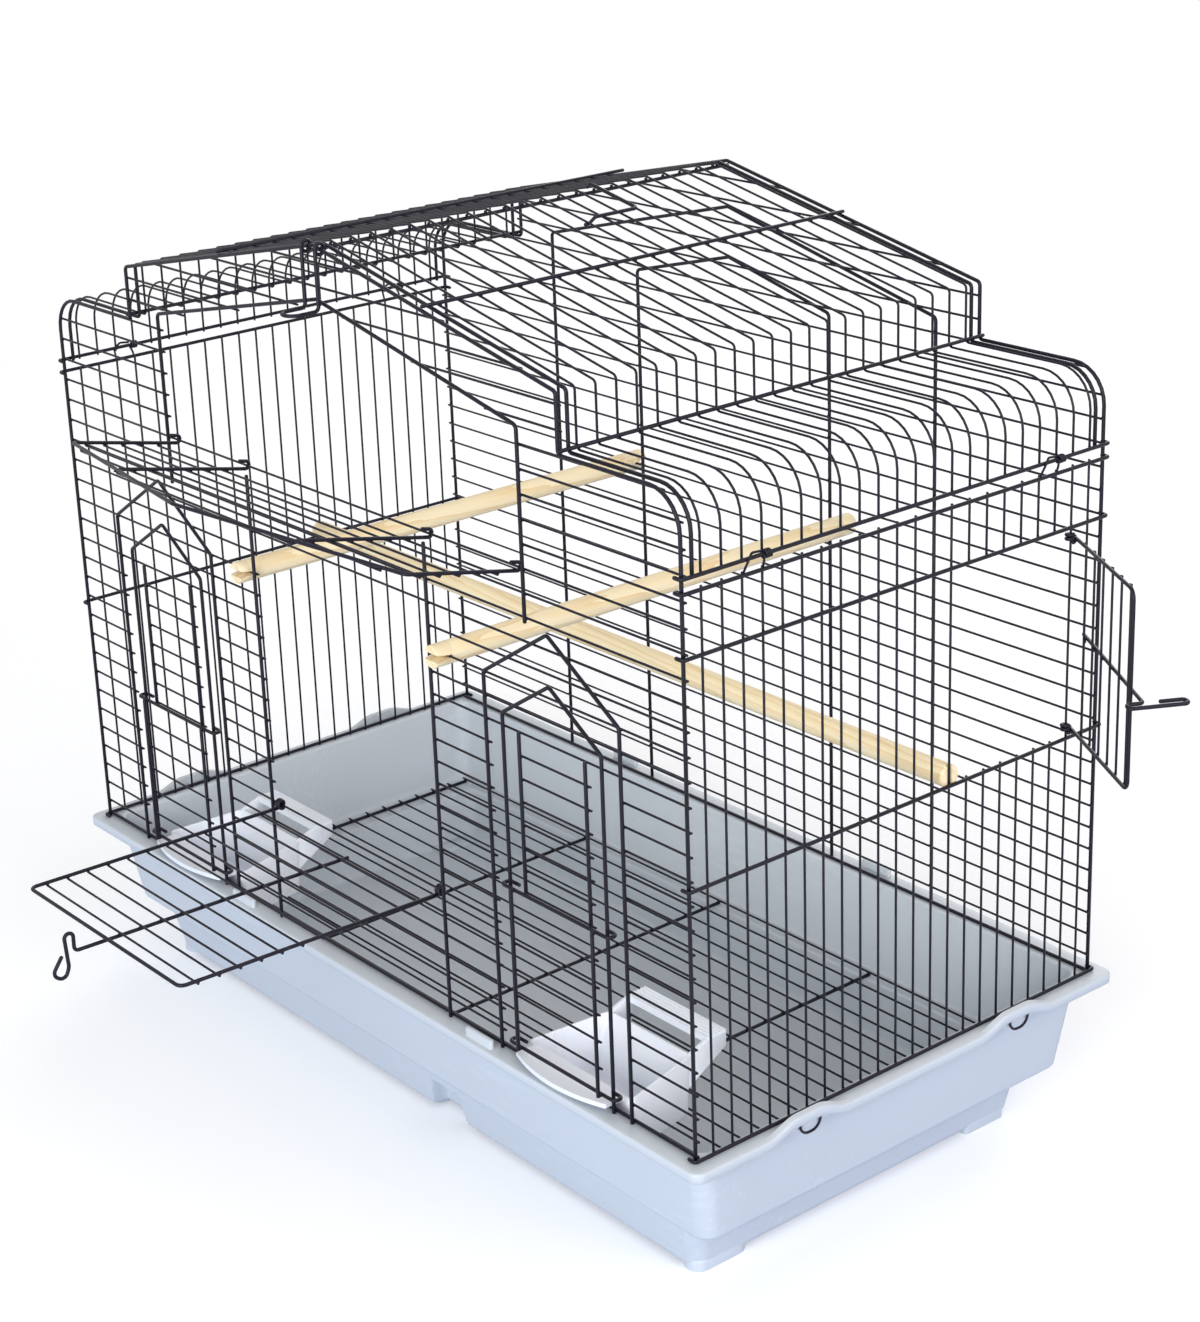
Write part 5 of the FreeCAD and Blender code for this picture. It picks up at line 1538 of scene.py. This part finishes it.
        # Places along the sides stand closer at the recess and at the humps.
        along_x = np.concatenate([np.linspace(-262, 20, 48), np.linspace(23, 71, 49),
                                  np.linspace(76, 262, 32)])
        along_y = np.concatenate([np.linspace(-122, -50, 49), np.linspace(-44, 44, 12),
                                  np.linspace(50, 122, 49)])
        rings = []
        for level in self.section():
            plan = rounded_loop(level.half_x, level.half_y, level.corner, 9, along_x, along_y)
            ring = level_ring(plan, level.height)
            if level.hump:
                away = np.abs(np.abs(plan[:, 1]) - self.hump_y)
                rise = self.hump_rise * (1 - soft_step(away, *self.hump_flanks))
                ring[:, 2] += np.where(np.abs(plan[:, 0]) > level.half_x - NEARLY, rise, 0.0)
            if level.height < self.ledge:
                ring[:, 1] += self.pushed_in(plan, level)
            rings.append(ring[::-1])
        return lofted(rings)

    def block(self, centre: Row, shape: Row, low: float, high: float) -> Surface:
        """Small moulded block with rounded plan corners and a softened top edge.

        Args:
            centre: Its place in plan.
            shape: Its two half sizes and its corner radius.
            low: Height of its underside.
            high: Height of its top.

        Returns:
            The block's skin.
        """
        half_x, half_y, corner = shape
        rows = [(0.0, low), (0.0, high - 1.2), (0.25, high - 0.5), (0.9, high)]
        return lofted([level_ring(rounded_loop(half_x - inset, half_y - inset,
                                               max(corner - inset, 0.3), 5) + centre, height)
                       for inset, height in rows])

    def clips(self) -> Surface:
        """Wire pull rings of the clips under the end rims.

        Returns:
            The four rings.
        """
        half, lip = self.clip_width / 2, self.lip + self.hump_rise
        top, low = lip + self.clip_root, lip - self.clip_drop
        line = [(-half, top), (-half, low), (half, low), (half, top)]
        ring = flat_wire(line, Axis.X, 0.0, half * self.clip_bend, 9, RING)
        xs, ys = (-self.clip_x, self.clip_x), (-self.hump_y, self.hump_y)
        return ring.repeated(crossings(xs, ys, [0.0]))

    def build(self) -> None:
        """Make and dress the tray and its clips."""
        rim, (tab_x, tab_y) = LAYOUT.rim, self.tab_place
        tabs = [self.block((x, y), self.tab, rim - self.tab_root, rim + self.tab_rise)
                for x in (-tab_x, tab_x) for y in (-tab_y, tab_y)]
        feet = [self.block((x, y), (self.foot_half, half, corner), 0.0, self.foot + self.feet_top)
                for x in (-self.foot_x, self.foot_x) for y, half, corner in self.feet]
        middle = self.block((0.0, 0.0), self.middle_foot, 0.0, self.foot + self.middle_top)
        self.maker.piece("tray_shell", joined(self.shell(), *tabs, *feet, middle), Finish.TRAY,
                         replaces=["tray"], crease=50.0)
        self.maker.wires("tray_clips", self.clips())


@dataclass
class Cup(Assembly):
    """Feed cup: tapered trough with a bowed front lip, and a ribbed landing bar behind a gap."""

    half: float = 48.5
    rear_share: float = 0.775
    wall: float = 2.2
    top: float = 111.4
    back_rise: float = 3.6
    foot: float = 76.5
    front: float = 155.5
    front_foot: float = 152.0
    back: float = 98.5
    back_foot: float = 101.5
    slope_foot: float = 113.0
    lip_half: float = 41.5
    lip_reach: float = 169.0
    lip_bow: float = 7.5
    lip_height: float = 3.0
    bar_half: float = 37.0
    bar_near: float = 85.5
    bar_far: float = 70.5
    bar_top: float = 121.2
    bar_thick: float = 4.4
    ribs: int = 5
    rib_height: float = 0.55
    arm: float = 2.4
    arm_past: float = 0.4
    arm_back: float = 3.0
    soft: float = 0.4

    def trough(self) -> Surface:
        """Trough as one skin: tapered plans stacked up outside, over the edge and down inside.

        Returns:
            The skin about the cup's own middle.
        """
        wall, top, foot, front, back = self.wall, self.top, self.foot, self.front, self.back
        floor, slope, near, far = foot + wall, self.slope_foot, self.front_foot, self.back_foot
        # Side inset, front, back, height, corner, and share of the rise towards the back.
        rows = [
            (2.0, near - 1.5, far + 1.5, foot, 3.0, 0.0),
            (0.6, near - 0.3, far + 0.3, foot + 0.7, 4.0, 0.0),
            (0.0, near + 0.2, far - 0.2, foot + 2.2, 4.5, 0.0),
            (0.0, front - 0.1, back + 0.1, top - 0.9, 4.5, 1.0),
            (0.35, front - 0.45, back + 0.4, top - 0.2, 4.2, 1.0),
            (0.9, front - 1.0, back + 0.9, top, 3.8, 1.0),
            (wall - 0.6, front - wall + 0.6, back + wall - 0.6, top, 3.0, 1.0),
            (wall, front - wall, back + wall, top - 0.6, 2.8, 1.0),
            (wall, near - wall + 0.5, slope - 0.5, floor + 3.0, 2.8, 0.0),
            (wall + 0.8, near - wall - 0.8, slope + 0.8, floor + 0.8, 2.4, 0.0),
            (wall + 3.0, near - wall - 3.0, slope + 3.0, floor, 2.0, 0.0),
        ]
        rings = []
        for inset, ahead, behind, height, corner, raised in rows:
            plan = rounded_loop(self.half - inset, (ahead - behind) / 2, corner, 6)
            plan = plan - [0.0, (ahead + behind) / 2]
            share = np.clip((plan[:, 1] + front) / (front - back), 0, 1)
            plan[:, 0] *= 1 - (1 - self.rear_share) * share
            rings.append(level_ring(plan, height + raised * self.back_rise * share))
        return lofted(rings)

    def lip(self) -> Surface:
        """Bowed front lip: a thin shelf whose outer edge is a shallow arc.

        Returns:
            The lip's skin.
        """
        x = np.linspace(-1, 1, 25)
        edge = np.column_stack([x * self.lip_half, -self.lip_reach - self.lip_bow * (1 - x ** 2)])
        inner = self.wall - self.front
        plan = np.concatenate([edge, [(self.lip_half, inner), (-self.lip_half, inner)]])
        middle, low = plan.mean(0), self.top - self.lip_height
        rows = [(0.985, low), (1.0, low + 0.5), (1.0, self.top - 0.6), (0.985, self.top)]
        return lofted([level_ring(middle + (plan - middle) * share, z) for share, z in rows])

    def carried(self, profile: Array, start: float, finish: float) -> Surface:
        """Upright profile carried along the cup's width, softened at both ends.

        Args:
            profile: Closed line across the cup.
            start: Where it starts along the cup.
            finish: Its end.

        Returns:
            The skin of the bar.
        """
        middle = profile.mean(0)
        rows = [(start, 0.95), (start + self.soft, 1.0), (finish - self.soft, 1.0), (finish, 0.95)]
        return lofted([np.insert(middle + (profile - middle) * share, 0, x, axis=1)
                       for x, share in rows])

    def bar(self) -> Surface:
        """Landing bar whose top carries fine ribs: a cosine row carried along the cup.

        Returns:
            The bar's skin.
        """
        across = np.linspace(0, 1, 8 * self.ribs + 1)
        ribs = self.rib_height * np.maximum(np.cos(across * 2 * np.pi * self.ribs), -0.25)
        crown = np.column_stack([-self.bar_far - (self.bar_near - self.bar_far) * across,
                                 self.bar_top - 0.5 + ribs])
        low = self.bar_top - self.bar_thick
        under = [(-self.bar_near, low), (-self.bar_far, low)]
        return self.carried(np.concatenate([crown, under]), -self.bar_half, self.bar_half)

    def arms(self) -> Surface:
        """Two gusset arms that carry the bar behind the trough.

        Returns:
            Both arms.
        """
        rear, high = self.top + self.back_rise, self.bar_top - 0.8
        root, far = -self.back - self.arm_back, -self.bar_far - 0.4
        side = np.array([(root, rear - 22.0), (far, high - 9.6), (far, high),
                         (-self.bar_near, high), (root, rear - 0.3)])
        inner, outer = self.bar_half - self.arm, self.bar_half + self.arm_past
        return joined(self.carried(side, inner, outer), self.carried(side, -outer, -inner))

    def build(self) -> None:
        """Make and dress both cups."""
        whole = joined(self.trough(), self.lip(), self.bar(), self.arms())
        right = whole.moved((LAYOUT.feeder_x, 0, 0))
        for side, surface in (("right", right), ("left", right.mirrored())):
            self.maker.piece(f"{side}_cup_shell", surface, Finish.CUP,
                             replaces=[f"{side}_feeder_cup"], crease=40.0)


@dataclass
class Perches(Assembly):
    """Two cross dowels and one long dowel, slotted at their ends for the wires."""

    radius: float = 7.15
    spacing: float = 105.0
    row: int = 16
    reach: float = 172.05
    slot_end: float = 161.45
    long_reach: float = 321.38
    long_slot_end: float = 319.08
    long_y: float = 36.25
    long_rise: float = 172.5
    slot: float = 1.0
    flare: float = 2.3
    root: float = 1.0
    soft: float = 0.5
    sides: int = 40
    prong_soft: float = 0.7

    def core(self, reach: float) -> Surface:
        """Round dowel along its own first axis: a circle carried along it, smaller at its ends.

        Args:
            reach: Half of its length.

        Returns:
            The dowel's skin.
        """
        even = np.linspace(self.soft - reach, reach - self.soft, 24)
        steps = np.concatenate([[-reach], even, [reach]])[:, None, None]
        share = np.ones(steps.shape)
        share[[0, -1]] = 0.95
        angle = around(self.sides)
        circle = np.column_stack([np.cos(angle), np.sin(angle)]) * self.radius
        places = np.broadcast_to(steps, (len(steps), self.sides, 1))
        return lofted(np.concatenate([places, circle * share], -1))

    def prong(self, start: float, finish: float, up: float, upright: bool) -> Surface:
        """Half-round tongue beside a slot: part of a circle above a chord, carried to the end.

        Args:
            start: Where the tongue starts along the dowel.
            finish: Its end.
            up: Which side of the slot it is on.
            upright: Whether the slot stands upright.

        Returns:
            The tongue's skin.
        """
        places = np.array([start, start + 0.3 * (finish - start),
                           finish - math.copysign(self.prong_soft, finish), finish])
        cut = np.arcsin(self.slot * np.array([1.0, 1.0, self.flare, self.flare]) / self.radius)
        angle = np.linspace(cut, np.pi - cut, 25, axis=1)
        arcs = np.stack([np.cos(angle), np.sin(angle)], -1) * self.radius
        middle = np.array([0.0, self.radius / 2])
        shapes = middle + (arcs - middle) * np.array([1.0, 1.0, 1.0, 0.93])[:, None, None]
        along = np.broadcast_to(places[:, None, None], (*angle.shape, 1))
        rings = np.concatenate([along, shapes], -1)
        if finish < start:
            rings = rings[::-1]
        if up < 0:
            rings = rings * [1, -1, -1]
        if upright:
            rings = rings[..., [0, 2, 1]] * [1, 1, -1]
        return lofted(rings)

    def dowel(self, reach: float, slot_end: float, upright: bool) -> Surface:
        """Whole slotted dowel along its own first axis.

        Args:
            reach: Half of its length.
            slot_end: Where the slots end.
            upright: Whether the slots stand upright.

        Returns:
            The dowel's skin.
        """
        tongues = [self.prong(side * (slot_end - self.root), side * reach, up, upright)
                   for side in (-1, 1) for up in (-1, 1)]
        return joined(self.core(slot_end), *tongues)

    def build(self) -> None:
        """Make and dress the three perches."""
        short = self.dowel(self.reach, self.slot_end, upright=False)
        cross = Surface(short.points[:, [1, 0, 2]] * [-1, 1, 1], short.quads, short.caps)
        level, high = LAYOUT.row(self.row), LAYOUT.rim + self.long_rise
        whole = self.dowel(self.long_reach, self.long_slot_end, upright=True)
        for name, dowel, place, finish in (
                ("right_perch", cross, (self.spacing, 0.0, level), Finish.PINE_Y),
                ("left_perch", cross, (-self.spacing, 0.0, level), Finish.PINE_Y),
                ("long_perch", whole, (0.0, self.long_y, high), Finish.PINE_X)):
            self.maker.piece(f"{name}_dowel", dowel.moved(place), finish, replaces=[name])


@dataclass(frozen=True)
class Lamp:
    """Large soft lamp in metres and watts."""

    name: str
    place: tuple
    size: float
    power: float
    tint: tuple


@dataclass
class Studio:
    """Pale floor, soft light and the camera at the photograph's angle."""

    focal_pixels: float = 2689.67
    sensor: float = 36.0
    image: tuple = (1200.0, 1322.0)
    principal: tuple = (520.13, 580.64)
    azimuth: float = 52.361
    elevation: float = 19.499
    roll: float = -2.645
    eye_point: tuple = (1.30056, -1.02562, 0.91369)
    floor_tone: tuple = (0.965, 0.965, 0.97)
    floor_bounce: tuple = (0.33, 0.44, 0.68)
    floor_lift: float = 0.19
    floor_half: float = 40.0
    floor_cells: int = 8
    floor_fade: tuple = (0.9, 2.6)
    surroundings: float = 0.46
    aim: tuple = (0.0, 0.0, 0.25)
    lamps: tuple = (
        Lamp("key", (1.5, -2.9, 1.0), 2.4, 94.0, (0.95, 0.975, 1.0)),
        Lamp("fill", (2.9, 0.3, 1.5), 2.2, 39.0, (1.0, 0.955, 0.975)),
        Lamp("top", (-0.4, 0.2, 3.4), 2.6, 4.0, (0.99, 1.0, 0.99)),
        Lamp("rear", (-1.8, 2.9, 1.6), 2.4, 44.0, (0.97, 0.985, 1.0)),
    )

    def camera(self) -> None:
        """Camera whose optical axis and framing are those of the photograph."""
        az, el, roll = (math.radians(v) for v in (self.azimuth, self.elevation, self.roll))
        level = math.cos(el)
        look = Vector((-math.sin(az) * level, math.cos(az) * level, -math.sin(el)))
        right = look.cross(Vector((0, 0, 1))).normalized()
        up = right.cross(look)
        tilted = right * math.cos(roll) + up * math.sin(roll)
        top = up * math.cos(roll) - right * math.sin(roll)
        data = bpy.data.cameras.new("camera")
        longest = max(self.image)
        data.sensor_width = self.sensor
        data.lens = self.focal_pixels / longest * self.sensor
        data.shift_x = (self.image[0] / 2 - self.principal[0]) / longest
        data.shift_y = (self.principal[1] - self.image[1] / 2) / longest
        camera = bpy.data.objects.new("camera", data)
        turn = Matrix((tilted, top, -look)).transposed().to_4x4()
        camera.matrix_world = Matrix.Translation(Vector(self.eye_point)) @ turn
        bpy.context.scene.collection.objects.link(camera)
        bpy.context.scene.camera = camera

    @staticmethod
    def seen(tree: Tree) -> Node:
        """Share that is 1 for rays from the camera, mirrors and glass.

        Args:
            tree: Nodes of the world or of a material.

        Returns:
            The node that gives the share.
        """
        rays = add_node(tree, "LightPath").outputs
        first = add_node(tree, "Math", {0: rays["Is Camera Ray"], 1: rays["Is Glossy Ray"]},
                         operation="MAXIMUM")
        return add_node(tree, "Math", {0: first, 1: rays["Is Transmission Ray"]},
                        operation="MAXIMUM")

    def world(self) -> None:
        """Even pale surroundings that are white where they are seen."""
        world = bpy.data.worlds.new("surroundings")
        world.use_nodes = True
        tree = world.node_tree
        seen = self.seen(tree)
        level = add_node(tree, "MapRange", {"Value": seen, 3: self.surroundings, 4: 1.0})
        feed(tree, tree.nodes["Background"], {"Color": (1.0, 1.0, 1.0, 1.0), "Strength": level})
        bpy.context.scene.world = world

    def light(self, lamp: Lamp) -> None:
        """Put up a lamp that faces the cage.

        Args:
            lamp: The lamp.
        """
        data = bpy.data.lights.new(lamp.name, "AREA")
        data.shape = "DISK"
        data.size = lamp.size
        data.energy = lamp.power
        data.color = lamp.tint
        light = bpy.data.objects.new(lamp.name, data)
        light.location = lamp.place
        way = Vector(self.aim) - Vector(lamp.place)
        light.rotation_euler = way.to_track_quat("-Z", "Y").to_euler()
        bpy.context.scene.collection.objects.link(light)

    def paper(self) -> Material:
        """Floor that is white where it is seen, throws back a dim cool light and fades outwards.

        Returns:
            The floor's material.
        """
        material, shader = blank_material("floor_paper", {
            "Base Color": (*self.floor_tone, 1.0), "Roughness": 0.9, "Specular IOR Level": 0.1,
            "Emission Strength": self.floor_lift, "Emission Color": (1.0, 1.0, 1.0, 1.0)})
        tree = material.node_tree
        spot = add_node(tree, "TexCoord").outputs["Object"]
        away = add_node(tree, "VectorMath", {0: spot}, operation="LENGTH").outputs["Value"]
        start, end = self.floor_fade
        fade = add_node(tree, "MapRange", {"Value": away, 1: start, 2: end},
                        interpolation_type="SMOOTHSTEP")
        dim = add_node(tree, "BsdfDiffuse", {"Color": (*self.floor_bounce, 1.0)})
        lit = add_node(tree, "MixShader", {0: self.seen(tree), 1: dim, 2: shader})
        clear = add_node(tree, "BsdfTransparent")
        both = add_node(tree, "MixShader", {0: fade, 1: lit, 2: clear})
        feed(tree, tree.nodes["Material Output"], {"Surface": both})
        return material

    def floor(self) -> None:
        """Pale floor that keeps the cage's shadow and fades out into the white surroundings."""
        count = self.floor_cells + 1
        side = np.linspace(-self.floor_half, self.floor_half, count)
        start = np.arange(count * count).reshape(count, count)[:-1, :-1].ravel()
        quads = np.stack([start, start + count, start + count + 1, start + 1], -1)
        mesh = bpy.data.meshes.new("floor")
        mesh.from_pydata(crossings(side, side, [0.0]).tolist(), [], quads.tolist())
        mesh.materials.append(self.paper())
        floor = bpy.data.objects.new("floor", mesh)
        bpy.context.scene.collection.objects.link(floor)

    def build(self) -> None:
        """Set the stage."""
        self.floor()
        self.world()
        for lamp in self.lamps:
            self.light(lamp)
        self.camera()
        bpy.context.scene.view_settings.view_transform = "Standard"


def finishes() -> dict[Finish, Material]:
    """Materials of the cage by their finishes.

    Returns:
        Each finish with its material.
    """
    plastic = {"specular": 0.28, "mottle": (6.5, 0.32, 0.7), "scuffs": (34.0, 7.0, 0.6),
               "glow_depth": 0.003}
    makers = (
        Skin(Finish.PAINT, deep=(0.0026, 0.002, 0.007), pale=(0.006, 0.0046, 0.015),
             worn=(0.02, 0.018, 0.028), specular=0.26, rough=(0.36, 0.5),
             mottle=(26.0, 0.34, 0.68), scuffs=(75.0, 2.0, 0.63), peel=(1400.0, 0.4),
             bump=(0.22, 0.0004)),
        Skin(Finish.TRAY, deep=(0.57, 0.615, 0.66), pale=(0.6, 0.645, 0.69),
             worn=(0.625, 0.67, 0.715), rough=(0.36, 0.5), peel=(700.0, 0.25),
             bump=(0.16, 0.0004), **plastic),
        Skin(Finish.CUP, deep=(0.79, 0.82, 0.885), pale=(0.83, 0.86, 0.92),
             worn=(0.77, 0.79, 0.83), rough=(0.22, 0.34), peel=(520.0, 0.25),
             bump=(0.06, 0.0004), glow=0.08, **plastic),
        PineDowel(Finish.PINE_X, Axis.X),
        PineDowel(Finish.PINE_Y, Axis.Y),
    )
    effects = Effects()
    return {maker.finish: maker.material(effects) for maker in makers}


def main() -> None:
    """Build the cage piece by piece and set the stage."""
    logging.basicConfig(level=logging.INFO, format="%(name)s: %(message)s")
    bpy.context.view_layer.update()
    maker = Maker(finishes())
    for assembly in (Tray, Grille, Walls, Roof, Feeders, Cup, Perches, Doors):
        assembly(maker).build()
    Studio().build()
    bpy.context.view_layer.update()


if __name__ == "__main__":
    main()
